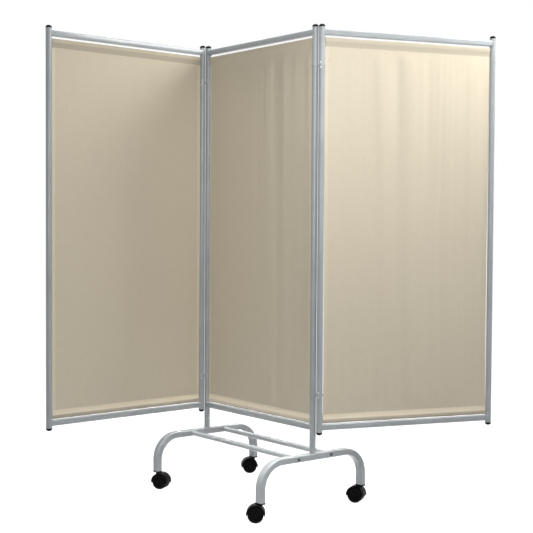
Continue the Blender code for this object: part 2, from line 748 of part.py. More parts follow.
def build_caster(corner, stand, location, hood, wheel, socket, materials):
    """A socket in the leg's end and the caster that swivels in it."""
    place(f"caster_socket_{corner}", socket, materials["plastic"], stand, location)
    swivel = make_empty(f"caster_{corner}", stand, location, CASTER_HEADINGS[corner])
    place(f"caster_hood_{corner}", hood, materials["plastic"], swivel)
    for letter, side in (("a", -1), ("b", 1)):
        spot = (CASTER_TRAIL, side * (WEB_WIDTH / 2 + WHEEL_SIDE_GAP), AXLE_HEIGHT)
        item = place(f"caster_wheel_{corner}_{letter}", wheel, materials["tread"], swivel, spot)
        item.rotation_euler = (-side * math.pi / 2, 0.0, 0.0)


def build_stand(materials, cap):
    """Legs, spreader bars, casters, uprights and the centre panel."""
    stand = make_empty("stand")
    half = CENTRE_WIDTH / 2
    hood = hood_mesh()
    wheel = wheel_mesh()
    socket = socket_mesh()
    bolt = bolt_mesh()
    for side, sign in (("left", -1), ("right", 1)):
        x = sign * half
        place(f"stand_leg_{side}", leg_mesh(), materials["frame"], stand, (x, 0.0, 0.0))
        upright = upright_mesh(-sign, CENTRE_KEEPER_HEADING)
        place(f"centre_upright_{side}", upright, materials["frame"], stand, (x, 0.0, 0.0))
        build_cap(f"centre_cap_{side}", stand, cap, materials["plastic"], (x, 0.0, POST_TOP))
        for end, direction in (("front", -1), ("rear", 1)):
            spot = (x, direction * BAR_HALF_SPACING, LEG_AXIS_HEIGHT)
            turn = 0.0 if side == "left" else math.pi
            place(f"spreader_bolt_{end}_{side}", bolt, materials["bolt"], stand, spot, turn)
            corner = (x, direction * LEG_HALF_DEPTH, 0.0)
            build_caster(f"{end}_{side}", stand, corner, hood, wheel, socket, materials)
    bar = bar_mesh(CENTRE_WIDTH)
    for end, direction in (("front", -1), ("rear", 1)):
        spot = (-half, direction * BAR_HALF_SPACING, LEG_AXIS_HEIGHT)
        place(f"spreader_bar_{end}", bar, materials["frame"], stand, spot)
    build_panel("centre", stand, CENTRE_WIDTH, materials, 0.6, (-half, 0.0, 0.0))
    return stand


def centre_on_origin(stand):
    """Shift the whole screen so that the middle of its footprint stands on the origin."""
    bpy.context.view_layer.update()
    corners = []
    for item in bpy.context.scene.objects:
        if item.type == "MESH":
            corners += [item.matrix_world @ vert.co for vert in item.data.vertices]
    low = [min(corner[axis] for corner in corners) for axis in range(3)]
    high = [max(corner[axis] for corner in corners) for axis in range(3)]
    stand.location = (-(low[0] + high[0]) / 2, -(low[1] + high[1]) / 2, -low[2])
    bpy.context.view_layer.update()


def main():
    """Build the screen and print where its joints are."""
    clear_scene()
    materials = {
        "frame": make_material("silver_powder_coat", (0.42, 0.44, 0.46), 0.35, 0.42),
        "steel": make_material("bright_steel_rod", (0.55, 0.55, 0.55), 0.9, 0.35),
        "bolt": make_material("dark_zinc_bolt", (0.12, 0.12, 0.13), 0.8, 0.4),
        "plastic": make_material("black_plastic", (0.012, 0.012, 0.013), 0.0, 0.42),
        "tread": make_material("black_nylon_wheel", (0.015, 0.015, 0.015), 0.0, 0.55),
        "cloth": make_material("cream_cloth", (0.62, 0.54, 0.40), 0.0, 0.9),
    }
    cap = cap_mesh()
    stand = build_stand(materials, cap)
    build_hinge("left", stand, LEFT_BEND, materials, cap, 1.9)
    build_hinge("right", stand, RIGHT_BEND, materials, cap, 4.1)
    centre_on_origin(stand)
    for item in bpy.context.scene.objects:
        if item.type == "EMPTY":
            print("axis", item.name, [round(value, 6) for value in item.matrix_world.translation])


main()
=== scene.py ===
# %% [markdown]
# # A three-panel privacy screen on casters
# The real object is a welded steel frame in silver powder coat with cream cotton-rich cloth between two
# thin rods in each panel. The centre panel stands on two bent legs with twin-wheel casters, and a wing
# hangs at each side on small double-ring straps. The steps below load the measured solids as a fixed
# frame, and build a finer piece over each of them, so that every piece keeps its true place and size.

# %% Load the frame
import json
import math

import bmesh
import bpy
from mathutils import Matrix, Vector, noise


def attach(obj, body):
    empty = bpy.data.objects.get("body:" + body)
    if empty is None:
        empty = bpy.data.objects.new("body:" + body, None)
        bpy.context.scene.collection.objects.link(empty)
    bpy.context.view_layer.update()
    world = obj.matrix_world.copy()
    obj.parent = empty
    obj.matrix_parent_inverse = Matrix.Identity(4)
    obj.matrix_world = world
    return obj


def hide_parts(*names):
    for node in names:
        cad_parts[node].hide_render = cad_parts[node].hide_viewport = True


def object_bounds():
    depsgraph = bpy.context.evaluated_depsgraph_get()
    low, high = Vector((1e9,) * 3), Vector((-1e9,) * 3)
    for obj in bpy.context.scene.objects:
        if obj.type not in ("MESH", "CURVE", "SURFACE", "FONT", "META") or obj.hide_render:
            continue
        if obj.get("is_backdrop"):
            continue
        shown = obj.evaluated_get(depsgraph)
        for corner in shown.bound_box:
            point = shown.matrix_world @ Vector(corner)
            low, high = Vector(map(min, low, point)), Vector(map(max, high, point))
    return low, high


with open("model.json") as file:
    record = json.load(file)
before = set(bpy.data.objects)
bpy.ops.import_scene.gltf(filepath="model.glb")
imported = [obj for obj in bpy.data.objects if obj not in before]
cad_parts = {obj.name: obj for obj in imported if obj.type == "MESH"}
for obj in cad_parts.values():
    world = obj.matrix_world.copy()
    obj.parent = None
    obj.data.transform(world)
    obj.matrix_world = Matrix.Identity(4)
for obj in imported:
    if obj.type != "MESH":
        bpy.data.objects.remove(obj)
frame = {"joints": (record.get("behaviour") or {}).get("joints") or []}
cad_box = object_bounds()
pivots = {joint["child"]: Vector(joint["pos_m"]) for joint in frame["joints"]}

# %% [markdown]
# Sizes in metres, the same ones that the solids were built from. Each panel has its own frame: its origin
# is on the axis of its first post, X runs along the panel, and Z is up.

# %% Sizes and panel frames
POST_TOP, WING_FOOT, UPRIGHT_FOOT = 1.727, 0.287, 0.2113
POST_RADIUS, POST_WALL = 0.011, 0.0012
RAIL_SIZE, RAIL_CORNER = 0.020, 0.0025
RAIL_HEIGHTS = {"top": 1.7085, "bottom": 0.3055}
ROD_RADIUS = 0.003
ROD_HEIGHTS = {"top": 1.6862, "bottom": 0.3233}
CLOTH_TOP, CLOTH_FOOT, CASING = 1.6910, 0.3185, 0.032
CLOTH_EDGE = 0.0131
HINGE_HEIGHTS = {"upper": 1.5925, "lower": 0.4215}
LEG_WIDTH, LEG_HEIGHT, LEG_CORNER, LEG_WALL = 0.031, 0.022, 0.003, 0.0016
LEG_FACE, LEG_CROWN, LEG_AXIS = 0.0155, 0.211, 0.200
LEG_HALF_DEPTH, LEG_END, BEND_RADIUS = 0.2365, 0.0676, 0.088
BAR_RADIUS, BAR_HALF_SPACING = 0.0095, 0.0765
GAP = 0.0003
LEFT_BEND, RIGHT_BEND = 92.0, 71.6
LINK_HEADINGS = {"left": 250.0, "right": 35.8}

left_axis = pivots["left_link"]
right_axis = pivots["right_link"]
ground = Vector((1.0, 1.0, 0.0))


def stand_at(spot, degrees):
    """A frame on the floor below a spot, turned about the vertical."""
    return Matrix.Translation(spot * ground) @ Matrix.Rotation(math.radians(degrees), 4, "Z")


CENTRE_WIDTH = (right_axis - left_axis).length
WING_WIDTH = 0.692
uprights = {"left": stand_at(left_axis, 0.0), "right": stand_at(right_axis, 0.0)}
panels = {
    "centre": ("stand", uprights["left"], CENTRE_WIDTH, -1),
    "left_wing": ("left_wing", stand_at(pivots["left_wing"], 180.0 + LEFT_BEND), WING_WIDTH, 1),
    "right_wing": ("right_wing", stand_at(pivots["right_wing"], RIGHT_BEND), WING_WIDTH, -1),
}
for panel, (body, place, width, _) in panels.items():
    print(panel, "starts at", [round(v, 4) for v in place.translation], "and is", round(width, 4), "m wide")


# %% [markdown]
# The operators below work on whatever is selected, and the imported solids are selected after loading. So
# each new primitive starts from an empty selection, and a few small helpers keep the steps short: one picks
# faces or edges by a test, one applies a modifier, some make blocks and round bars, one cuts or joins with
# them, and one moves the finished mesh into its place.

# %% Modelling helpers
def nothing_selected():
    bpy.ops.object.select_all(action="DESELECT")


def only(piece):
    """Select one piece and make it the active one."""
    nothing_selected()
    piece.select_set(True)
    bpy.context.view_layer.objects.active = piece


def named(name):
    """Name the primitive that was just added."""
    piece = bpy.context.object
    piece.name = name
    piece.data.name = name
    return piece


def edit(piece):
    only(piece)
    bpy.ops.object.mode_set(mode="EDIT")


def done():
    bpy.ops.object.mode_set(mode="OBJECT")


def pick(piece, kind, test):
    """In edit mode, select only the faces or edges that pass the test."""
    bm = bmesh.from_edit_mesh(piece.data)
    bpy.ops.mesh.select_all(action="DESELECT")
    bpy.context.tool_settings.mesh_select_mode = (False, kind == "edges", kind == "faces")
    bm.select_mode = {"EDGE"} if kind == "edges" else {"FACE"}
    for item in getattr(bm, kind):
        item.select_set(bool(test(item)))
    bm.select_flush_mode()
    bmesh.update_edit_mesh(piece.data)


def modify(piece, kind, **settings):
    """Add a modifier and apply it at once."""
    only(piece)
    modifier = piece.modifiers.new(kind.title(), kind)
    for key, value in settings.items():
        setattr(modifier, key, value)
    bpy.ops.object.modifier_apply(modifier=modifier.name)


def settle(piece, place=None):
    """Put a piece's place into its mesh and leave its object at the origin."""
    bpy.context.view_layer.update()
    piece.data.transform((place or Matrix()) @ piece.matrix_world)
    piece.matrix_world = Matrix()
    return piece


def box(name, size, spot=(0.0, 0.0, 0.0), turn=0.0):
    """A block of a size about a spot, turned about the vertical."""
    nothing_selected()
    bpy.ops.mesh.primitive_cube_add(size=1.0, location=spot, rotation=(0.0, 0.0, turn))
    piece = named(name)
    piece.scale = size
    return settle(piece)


def rounded_box(name, size, spot, along, corner):
    """A block whose edges along one axis are rounded: 0 is X, 1 is Y and 2 is Z."""
    piece = box(name, size, spot)
    edit(piece)
    pick(piece, "edges", lambda e: abs(e.verts[0].co[along] - e.verts[1].co[along]) > size[along] / 2)
    bpy.ops.mesh.bevel(offset=corner, segments=5, affect="EDGES")
    done()
    return piece


def round_bar(name, radius, length, axis, spot=(0.0, 0.0, 0.0), sides=64):
    """A solid cylinder along an axis, to keep or to cut with."""
    nothing_selected()
    turn = {"X": (0.0, math.pi / 2, 0.0), "Y": (math.pi / 2, 0.0, 0.0), "Z": (0.0, 0.0, 0.0)}[axis]
    bpy.ops.mesh.primitive_cylinder_add(vertices=sides, radius=radius, depth=length, location=spot,
                                        rotation=turn)
    return settle(named(name))


def outward(piece):
    """Merge doubles and point every face outwards."""
    edit(piece)
    bpy.ops.mesh.select_all(action="SELECT")
    bpy.ops.mesh.remove_doubles(threshold=1e-6)
    bpy.ops.mesh.normals_make_consistent(inside=False)
    done()


def smooth(piece, degrees=32.0):
    only(piece)
    bpy.ops.object.shade_smooth_by_angle(angle=math.radians(degrees))


def add_object(name, data):
    """Put a mesh, lamp or camera into the scene."""
    item = bpy.data.objects.new(name, data)
    bpy.context.scene.collection.objects.link(item)
    return item


def copy_of(piece, name, place):
    """A copy with its own mesh, moved by a matrix."""
    twin = add_object(name, piece.data.copy())
    twin.data.name = name
    twin.data.transform(place)
    return twin


def discard(*pieces):
    """Remove patterns that were copied and cutters that have cut."""
    for piece in pieces:
        bpy.data.objects.remove(piece)


def trim_with(piece, cutter, operation="DIFFERENCE", solver="EXACT"):
    """Cut a piece with another that isn't kept, or join that one to it."""
    modify(piece, "BOOLEAN", operation=operation, solver=solver, object=cutter)
    discard(cutter)


def lift(height):
    return Matrix.Translation((0.0, 0.0, height))


def finish(piece, body, material, slot, *nodes):
    """Dress a piece, let it ride on its body, and let it stand for its solids."""
    piece.data.materials.clear()
    piece.data.materials.append(material)
    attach(piece, body)
    if nodes:
        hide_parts(*nodes)
    return piece


print("helpers ready")


# %% [markdown]
# Materials. Colours are written as the sRGB hex values that a painter would pick, and one function turns
# them into the linear numbers that the shader needs. One function adds a node with its settings and links.

# %% Colour and node helpers
MM = 1000.0


def hex_colour(text):
    channels = [int(text[start:start + 2], 16) / 255 for start in (1, 3, 5)]
    linear = [v / 12.92 if v <= 0.04045 else ((v + 0.055) / 1.055) ** 2.4 for v in channels]
    return (*linear, 1.0)


def new_material(name, **sockets):
    """A principled material; the given values go straight on to the shader's own sockets."""
    material = bpy.data.materials.new(name)
    material.use_nodes = True
    shader = material.node_tree.nodes["Principled BSDF"]
    for key, value in sockets.items():
        shader.inputs[key.replace("_", " ")].default_value = value
    return material, material.node_tree, shader


def node(tree, kind, settings=None, values=None, links=None):
    """Add a node: settings are its properties, values its socket values, links what feeds its sockets."""
    item = tree.nodes.new(kind)
    for key, value in (settings or {}).items():
        setattr(item, key, value)
    for key, value in (values or {}).items():
        item.inputs[key].default_value = value
    for key, source in (links or {}).items():
        tree.links.new(source, item.inputs[key])
    return item


def speckle(tree, spot, size, detail):
    """Noise of about a size in millimetres."""
    return node(tree, "ShaderNodeTexNoise", values={"Scale": MM / size, "Detail": detail},
                links={"Vector": spot}).outputs["Fac"]


def two_tone(tree, shader, source, dark, light, low=0.0, high=1.0):
    """Colour the shader by a pattern, from a dark tone at low to a light one at high."""
    ramp = node(tree, "ShaderNodeValToRGB", links={"Fac": source})
    for element, position, colour in zip(ramp.color_ramp.elements, (low, high), (dark, light)):
        element.position, element.color = position, hex_colour(colour)
    tree.links.new(ramp.outputs["Color"], shader.inputs["Base Color"])
    return ramp


def uneven_gloss(tree, shader, source, least, most):
    """Let a pattern vary the roughness."""
    gloss = node(tree, "ShaderNodeMapRange", values={"To Min": least, "To Max": most}, links={"Value": source})
    tree.links.new(gloss.outputs["Result"], shader.inputs["Roughness"])


def relief(tree, shader, source, strength, depth):
    """Let a pattern stand out of the surface by a depth in metres."""
    bump = node(tree, "ShaderNodeBump", values={"Strength": strength, "Distance": depth},
                links={"Height": source})
    tree.links.new(bump.outputs["Normal"], shader.inputs["Normal"])


print("material helpers ready")

# %% [markdown]
# Powder coat: a polyester powder melted on to the steel. It levels into a glossy skin with a faint orange
# peel about 1.5 mm across and fine silver flakes under it. The skin is a clear coat over the grey, so a face
# seen at a shallow angle, such as the top of a leg, mirrors the white room. The peel is a low bump, and the
# flakes are a slight change of tone, drawn at 0.8 mm because true flakes of 0.05 mm are far below a pixel.

# %% Silver powder coat
powder_coat, tree, shader = new_material("silver_powder_coat", Roughness=0.5, Specular_IOR_Level=0.3,
                                          Coat_Weight=0.9, Coat_Roughness=0.14)
spot = node(tree, "ShaderNodeTexCoord").outputs["Object"]
flakes = speckle(tree, spot, 0.8, 2.0)
drift = speckle(tree, spot, 90, 3.0)
both = node(tree, "ShaderNodeMath", {"operation": "MULTIPLY_ADD"}, {1: 0.35}, {0: flakes, 2: drift})
two_tone(tree, shader, both.outputs[0], "#999EA0", "#A8ADAF", 0.35, 1.0)
uneven_gloss(tree, shader, drift, 0.42, 0.56)
relief(tree, shader, speckle(tree, spot, 1.5, 1.0), 0.12, 0.0002)
print("made", powder_coat.name)

# %% [markdown]
# Bare metals: the rods are bright drawn steel, the small screws bright zinc plate, and the bar bolts zinc
# plate passivated black. All have a cloudy bloom about 4 mm across and a fine grit of 0.6 mm.

# %% Drawn steel and zinc plate
def plated(name, dark, light, rough):
    material, tree, shader = new_material(name, Metallic=1.0, Roughness=rough)
    spot = node(tree, "ShaderNodeTexCoord").outputs["Object"]
    bloom = speckle(tree, spot, 4, 4.0)
    two_tone(tree, shader, bloom, dark, light)
    uneven_gloss(tree, shader, bloom, rough * 0.8, rough * 1.3)
    relief(tree, shader, speckle(tree, spot, 0.6, 2.0), 0.1, 0.0001)
    return material


drawn_steel = plated("bright_drawn_steel", "#A6A7A8", "#C4C5C6", 0.32)
bright_zinc = plated("bright_zinc_plate", "#B4B6B8", "#D6D8DA", 0.26)
black_zinc = plated("black_zinc_plate", "#3E4042", "#5A5C5E", 0.34)
print("made", drawn_steel.name, bright_zinc.name, black_zinc.name)


# %% [markdown]
# Black plastics. The caps, sockets and hoods are moulded ABS with a fine spark texture of about 0.5 mm.
# The wheels are nylon, a little greyer and duller.

# %% Moulded black plastics
def moulded(name, dark, light, rough, grain):
    material, tree, shader = new_material(name, Roughness=rough, Specular_IOR_Level=0.05)
    spot = node(tree, "ShaderNodeTexCoord").outputs["Object"]
    cloud = speckle(tree, spot, 14, 4.0)
    two_tone(tree, shader, cloud, dark, light, 0.35, 0.75)
    uneven_gloss(tree, shader, cloud, rough * 0.85, rough * 1.2)
    spark = node(tree, "ShaderNodeTexVoronoi", values={"Scale": MM / grain}, links={"Vector": spot})
    relief(tree, shader, spark.outputs["Distance"], 0.18, 0.0001)
    return material


black_abs = moulded("moulded_black_abs", "#040404", "#090909", 0.36, 0.5)
black_nylon = moulded("moulded_black_nylon", "#070606", "#0F0E0D", 0.50, 0.7)
print("made", black_abs.name, black_nylon.name)

# %% [markdown]
# Cloth: a plain weave of cotton and polyester. Its threads are about 0.35 mm apart, far below a pixel in a
# view of the whole screen, so the weave is drawn at 1.1 mm, where a close view shows it and a wide view
# only its softness. Longer streaks in both directions stand for the slubs, the thicker places of a thread.
# The pattern reads the cloth's own UV map, which holds each point's place on the flat cloth in metres.
# Where the cloth lies double, in the casings and hems, its colour is scaled by painted light and shade:
# lighter, as cloth that lets less light through and sends more back would look, and on the wings darker at
# the upper casing, a painted shadow of the rail. An attribute of the mesh, painted_light_tone, holds that
# factor for each panel, and it is 1 elsewhere. A painted highlight makes the roll over the upper rod a little
# lighter, and painted shade makes the roll under the lower rod darker.

# %% Woven cream cloth
cream_cloth, tree, shader = new_material("woven_cream_cloth", Roughness=0.88, Sheen_Weight=0.25,
                                         Sheen_Roughness=0.5, Specular_IOR_Level=0.2)
flat = node(tree, "ShaderNodeUVMap", {"uv_map": "flat_cloth"}).outputs["UV"]
WEAVE_STEP, SLUB_WIDE, SLUB_LONG = 1.1, 1.6, 45
ribs, streaks = [], []
for direction, wide, high in (("X", SLUB_WIDE, SLUB_LONG), ("Y", SLUB_LONG, SLUB_WIDE)):
    wave = node(tree, "ShaderNodeTexWave", {"bands_direction": direction},
                {"Scale": MM / WEAVE_STEP / 20 * math.pi, "Distortion": 0.4, "Detail": 1.0}, {"Vector": flat})
    laid = node(tree, "ShaderNodeMapping", values={"Scale": (MM / wide, MM / high, 1.0)},
                links={"Vector": flat})
    slub = node(tree, "ShaderNodeTexNoise", values={"Scale": 1.0, "Detail": 2.0},
                links={"Vector": laid.outputs["Vector"]})
    ribs.append(wave.outputs["Fac"])
    streaks.append(slub.outputs["Fac"])
weave = node(tree, "ShaderNodeMath", {"operation": "MULTIPLY"}, links=dict(enumerate(ribs)))
slubs = node(tree, "ShaderNodeMath", {"operation": "ADD"}, links=dict(enumerate(streaks)))
threads = node(tree, "ShaderNodeMath", {"operation": "MULTIPLY_ADD"}, {1: 0.25},
               {0: weave.outputs[0], 2: slubs.outputs[0]})
tone = two_tone(tree, shader, threads.outputs[0], "#CCC1A9", "#D5CAB4", 0.70, 1.0)
# Painted light and shade: this attribute scales the cloth's colour on the casings, rolls and hems.
painted_light_tone = node(tree, "ShaderNodeAttribute", {"attribute_name": "painted_light_tone"})
shaded = node(tree, "ShaderNodeVectorMath", {"operation": "SCALE"},
              links={"Vector": tone.outputs["Color"], "Scale": painted_light_tone.outputs["Fac"]})
tree.links.new(shaded.outputs["Vector"], shader.inputs["Base Color"])
relief(tree, shader, threads.outputs[0], 0.35, 0.0003)
print("made", cream_cloth.name)

# %% [markdown]
# Sewing thread: twisted polyester, a shade lighter and glossier than the cloth, so a seam reads as a fine
# row of dots. The twist is a wave of about 0.5 mm along the thread.

# %% Sewing thread
sewing_thread, tree, shader = new_material("twisted_polyester_thread", Roughness=0.6, Sheen_Weight=0.2)
spot = node(tree, "ShaderNodeTexCoord").outputs["Object"]
twist = node(tree, "ShaderNodeTexWave", {"bands_direction": "DIAGONAL"},
             {"Scale": MM / 0.5 / 20 * math.pi, "Distortion": 0.5}, {"Vector": spot})
two_tone(tree, shader, twist.outputs["Fac"], "#D2C7AA", "#E6DDC4")
print("made", sewing_thread.name)


# %% [markdown]
# Posts: round steel tube, 22 mm across with a wall of 1.2 mm. A cylinder without ends gives the outside,
# and Solidify gives the wall inwards, so the bore is real where the caps and rods enter.

# %% Post tubes
def tube(name, radius, wall, low, high, sides=48):
    nothing_selected()
    bpy.ops.mesh.primitive_cylinder_add(vertices=sides, radius=radius, depth=high - low,
                                        end_fill_type="NOTHING", location=(0.0, 0.0, (low + high) / 2))
    piece = named(name)
    modify(piece, "SOLIDIFY", thickness=wall, offset=-1.0)
    settle(piece)
    outward(piece)
    smooth(piece)
    return piece


wing_post = tube("wing_post", POST_RADIUS, POST_WALL, WING_FOOT, POST_TOP)
upright = tube("upright", POST_RADIUS, POST_WALL, UPRIGHT_FOOT, POST_TOP)
for side, stand_place in uprights.items():
    start = panels[f"{side}_wing"][1]
    for which, x in (("inner", 0.0), ("outer", WING_WIDTH)):
        name = f"{side}_wing_{which}_post"
        post = copy_of(wing_post, name + "_tube", start @ Matrix.Translation((x, 0.0, 0.0)))
        finish(post, f"{side}_wing", powder_coat, "powder_coat", name)
    post = copy_of(upright, f"{side}_upright_tube", stand_place)
    finish(post, "stand", powder_coat, "powder_coat", f"centre_upright_{side}")
discard(wing_post, upright)
print("six posts, the wings' from", WING_FOOT, "to", POST_TOP)


# %% [markdown]
# Rails: square tube of 20 mm with small rounded corners. A cube gets the rail's size, its four long edges
# are bevelled, and a hole saw of the post's size cuts each end, as a fitter copes a tube before welding.

# %% Square rails with coped ends
def rail(name, width):
    size = (width - 1.2 * POST_RADIUS, RAIL_SIZE, RAIL_SIZE)
    piece = rounded_box(name, size, (width / 2, 0.0, 0.0), 0, RAIL_CORNER)
    for x in (0.0, width):
        trim_with(piece, round_bar("hole_saw", POST_RADIUS + GAP, 0.05, "Z", (x, 0.0, 0.0)))
    smooth(piece, 25.0)
    return piece


for panel, (body, place, width, _) in panels.items():
    pattern = rail("rail", width)
    for level, height in RAIL_HEIGHTS.items():
        node_name = f"{panel}_rail_{level}"
        twin = copy_of(pattern, node_name + "_tube", place @ lift(height))
        finish(twin, body, powder_coat, "powder_coat", node_name)
    discard(pattern)
print("six rails,", round(RAIL_SIZE * 1000), "mm square")


# %% [markdown]
# Weld beads: the welder runs a bead round each rail where it meets its post, and the powder covers it. A
# torus is bent over that saddle: its big circle takes the rail's square outline, each point is pushed on to
# the round post, and its small circle swells and thins along the way, as the puddles of a real bead do.

# %% Weld beads at the rails
def square_point(angle, half, corner):
    """A point of a rounded square's outline at an angle, by the superellipse that is close to it."""
    c, s = math.cos(angle), math.sin(angle)
    reach = (abs(c) ** 7 + abs(s) ** 7) ** (-1 / 7)
    return half * reach * c, half * reach * s


def weld_bead(name, surface, outline, thickness, ripples):
    """Bend a torus over a saddle. outline gives a flat point for an angle, surface its place in space."""
    nothing_selected()
    bpy.ops.mesh.primitive_torus_add(major_segments=96, minor_segments=8, major_radius=1.0, minor_radius=0.1)
    piece = named(name)
    for vert in piece.data.vertices:
        flat_radius = math.hypot(vert.co.x, vert.co.y)
        angle = math.atan2(vert.co.y, vert.co.x)
        a, b = (flat_radius - 1.0) * 10, vert.co.z * 10
        size = thickness * (1.0 + 0.10 * math.sin(ripples * angle) + 0.06 * math.sin(7 * angle + 1.0))
        u, v = outline(angle)
        length = math.hypot(u, v)
        vert.co = surface(u * (1 + a * size / length), v * (1 + a * size / length), b * size)
    outward(piece)
    smooth(piece, 60.0)
    return piece


PROUD = 0.0002


def on_post(u, v, rise):
    across = max(min(u, POST_RADIUS * 0.97), -POST_RADIUS * 0.97)
    return Vector((math.sqrt(POST_RADIUS ** 2 - across ** 2) + PROUD + rise, u, v))


rail_bead = weld_bead("rail_bead", on_post, lambda t: square_point(t, RAIL_SIZE / 2 + 0.0001, RAIL_CORNER),
                      0.0011, 30)
count = 0
for panel, (body, place, width, _) in panels.items():
    for level, height in RAIL_HEIGHTS.items():
        for end, x, turn in (("start", 0.0, 0.0), ("end", width, math.pi)):
            there = place @ Matrix.Translation((x, 0.0, height)) @ Matrix.Rotation(turn, 4, "Z")
            bead = copy_of(rail_bead, f"{panel}_{level}_weld_{end}", there)
            finish(bead, body, powder_coat, "powder_coat")
            count += 1
discard(rail_bead)
print(count, "weld beads at the rails")

# %% [markdown]
# Legs: flat-sided tube, 31 mm wide and 22 mm high with small rounded corners, bent twice on a pipe bender. A
# plane at the rear end gets rounded corners and loses its face. Its outline is extruded up, spun a quarter
# turn about the bend's centre, extruded forward, spun down again and extruded to the front end. Solidify
# then gives the wall.

# %% Bent legs
nothing_selected()
bpy.ops.mesh.primitive_plane_add(size=1.0, location=(0.0, LEG_HALF_DEPTH, LEG_END))
leg = named("leg")
leg.scale = (LEG_WIDTH, LEG_HEIGHT, 1.0)
settle(leg)
edit(leg)
bpy.ops.mesh.select_all(action="SELECT")
bpy.ops.mesh.bevel(offset=LEG_CORNER, segments=5, affect="VERTICES")
bpy.ops.mesh.select_all(action="SELECT")
bpy.ops.mesh.delete(type="ONLY_FACE")
bpy.ops.mesh.select_all(action="SELECT")
bend_height = LEG_AXIS - BEND_RADIUS
corner = LEG_HALF_DEPTH - BEND_RADIUS
bpy.ops.mesh.extrude_region_move(TRANSFORM_OT_translate={"value": (0.0, 0.0, bend_height - LEG_END)})
bpy.ops.mesh.spin(steps=24, angle=math.pi / 2, center=(0.0, corner, bend_height), axis=(-1.0, 0.0, 0.0))
bpy.ops.mesh.extrude_region_move(TRANSFORM_OT_translate={"value": (0.0, -2 * corner, 0.0)})
bpy.ops.mesh.spin(steps=24, angle=math.pi / 2, center=(0.0, -corner, bend_height), axis=(-1.0, 0.0, 0.0))
bpy.ops.mesh.extrude_region_move(TRANSFORM_OT_translate={"value": (0.0, 0.0, LEG_END - bend_height)})
done()
outward(leg)
modify(leg, "SOLIDIFY", thickness=LEG_WALL, offset=-1.0)
outward(leg)
smooth(leg, 25.0)
heights = [v.co.z for v in leg.data.vertices]
print("leg from", round(min(heights), 4), "to", round(max(heights), 4))

# %% Legs in place, with the weld at each spigot
def on_leg(u, v, rise):
    return Vector((u, v, LEG_CROWN + PROUD + rise))


foot_radius = POST_RADIUS + 0.0006
foot_bead = weld_bead("foot_bead", on_leg, lambda t: (foot_radius * math.cos(t), foot_radius * math.sin(t)),
                      0.0012, 26)
for side, there in uprights.items():
    finish(copy_of(leg, f"{side}_leg_tube", there), "stand", powder_coat, "powder_coat", f"stand_leg_{side}")
    finish(copy_of(foot_bead, f"{side}_leg_spigot_weld", there), "stand", powder_coat, "powder_coat")
discard(leg, foot_bead)
print("two legs", round(CENTRE_WIDTH, 4), "m apart")

# %% [markdown]
# Spreader bars: two round tubes between the legs, cut square at both ends, and held by a bolt through each
# leg. They are cylinders laid along X.

# %% Spreader bars
bar = round_bar("bar", BAR_RADIUS, CENTRE_WIDTH - LEG_WIDTH - 2 * GAP, "X", (CENTRE_WIDTH / 2, 0.0, 0.0), 40)
smooth(bar)
for end, direction in (("front", -1), ("rear", 1)):
    there = uprights["left"] @ Matrix.Translation((0.0, direction * BAR_HALF_SPACING, LEG_AXIS))
    finish(copy_of(bar, f"{end}_spreader_tube", there), "stand", powder_coat, "powder_coat",
           f"spreader_bar_{end}")
discard(bar)
print("two spreader bars at", LEG_AXIS, "m")


# %% [markdown]
# Turned parts, such as caps, screws, bolts and wheels, all start from a circle. Each step extrudes the
# rim to the next height and scales it to the next radius, as a lathe profile is followed, and a radius of
# zero closes the end in one point.

# %% A lathe made of extrusions
def turned(name, profile, sides=40, angle=30.0, closed=False):
    """profile is a list of (radius, height). closed joins the last ring to the first, as in a bored part."""
    nothing_selected()
    first_radius, first_height = profile[0]
    at_point = first_radius == 0.0
    start = profile[1] if at_point else profile[0]
    bpy.ops.mesh.primitive_circle_add(vertices=sides, radius=start[0], location=(0.0, 0.0, start[1]),
                                      fill_type="NGON" if at_point else "NOTHING")
    piece = settle(named(name))
    edit(piece)
    bpy.ops.mesh.select_all(action="SELECT")
    if at_point:
        bpy.ops.mesh.poke()
        bm = bmesh.from_edit_mesh(piece.data)
        middle = min(bm.verts, key=lambda v: v.co.xy.length)
        middle.co.z = first_height
        bmesh.update_edit_mesh(piece.data)
        pick(piece, "edges", lambda e: e.is_boundary)
    radius, height = start
    for next_radius, next_height in profile[2 if at_point else 1:]:
        bpy.ops.mesh.extrude_edges_move(TRANSFORM_OT_translate={"value": (0.0, 0.0, next_height - height)})
        if next_radius == 0.0:
            bpy.ops.mesh.merge(type="CENTER")
            break
        if next_radius != radius:
            share = next_radius / radius
            bpy.ops.transform.resize(value=(share, share, 1.0), center_override=(0.0, 0.0, next_height))
        radius, height = next_radius, next_height
    if closed:
        pick(piece, "edges", lambda e: e.is_boundary)
        bpy.ops.mesh.bridge_edge_loops()
    done()
    outward(piece)
    smooth(piece, angle)
    return piece


def dome(radius, base, height, steps):
    """Profile points of a dome from its rim to its crown."""
    turns = [math.pi / 2 * step / steps for step in range(steps + 1)]
    return [(radius * math.cos(t), base + height * math.sin(t)) for t in turns[:-1]] + [(0.0, base + height)]


print("lathe ready")

# %% [markdown]
# End caps: black domes of about the tube's width, pushed into every open end of a post. Below the dome is a
# thin flange with its lower edge broken, and below that the plug, which the tube hides.

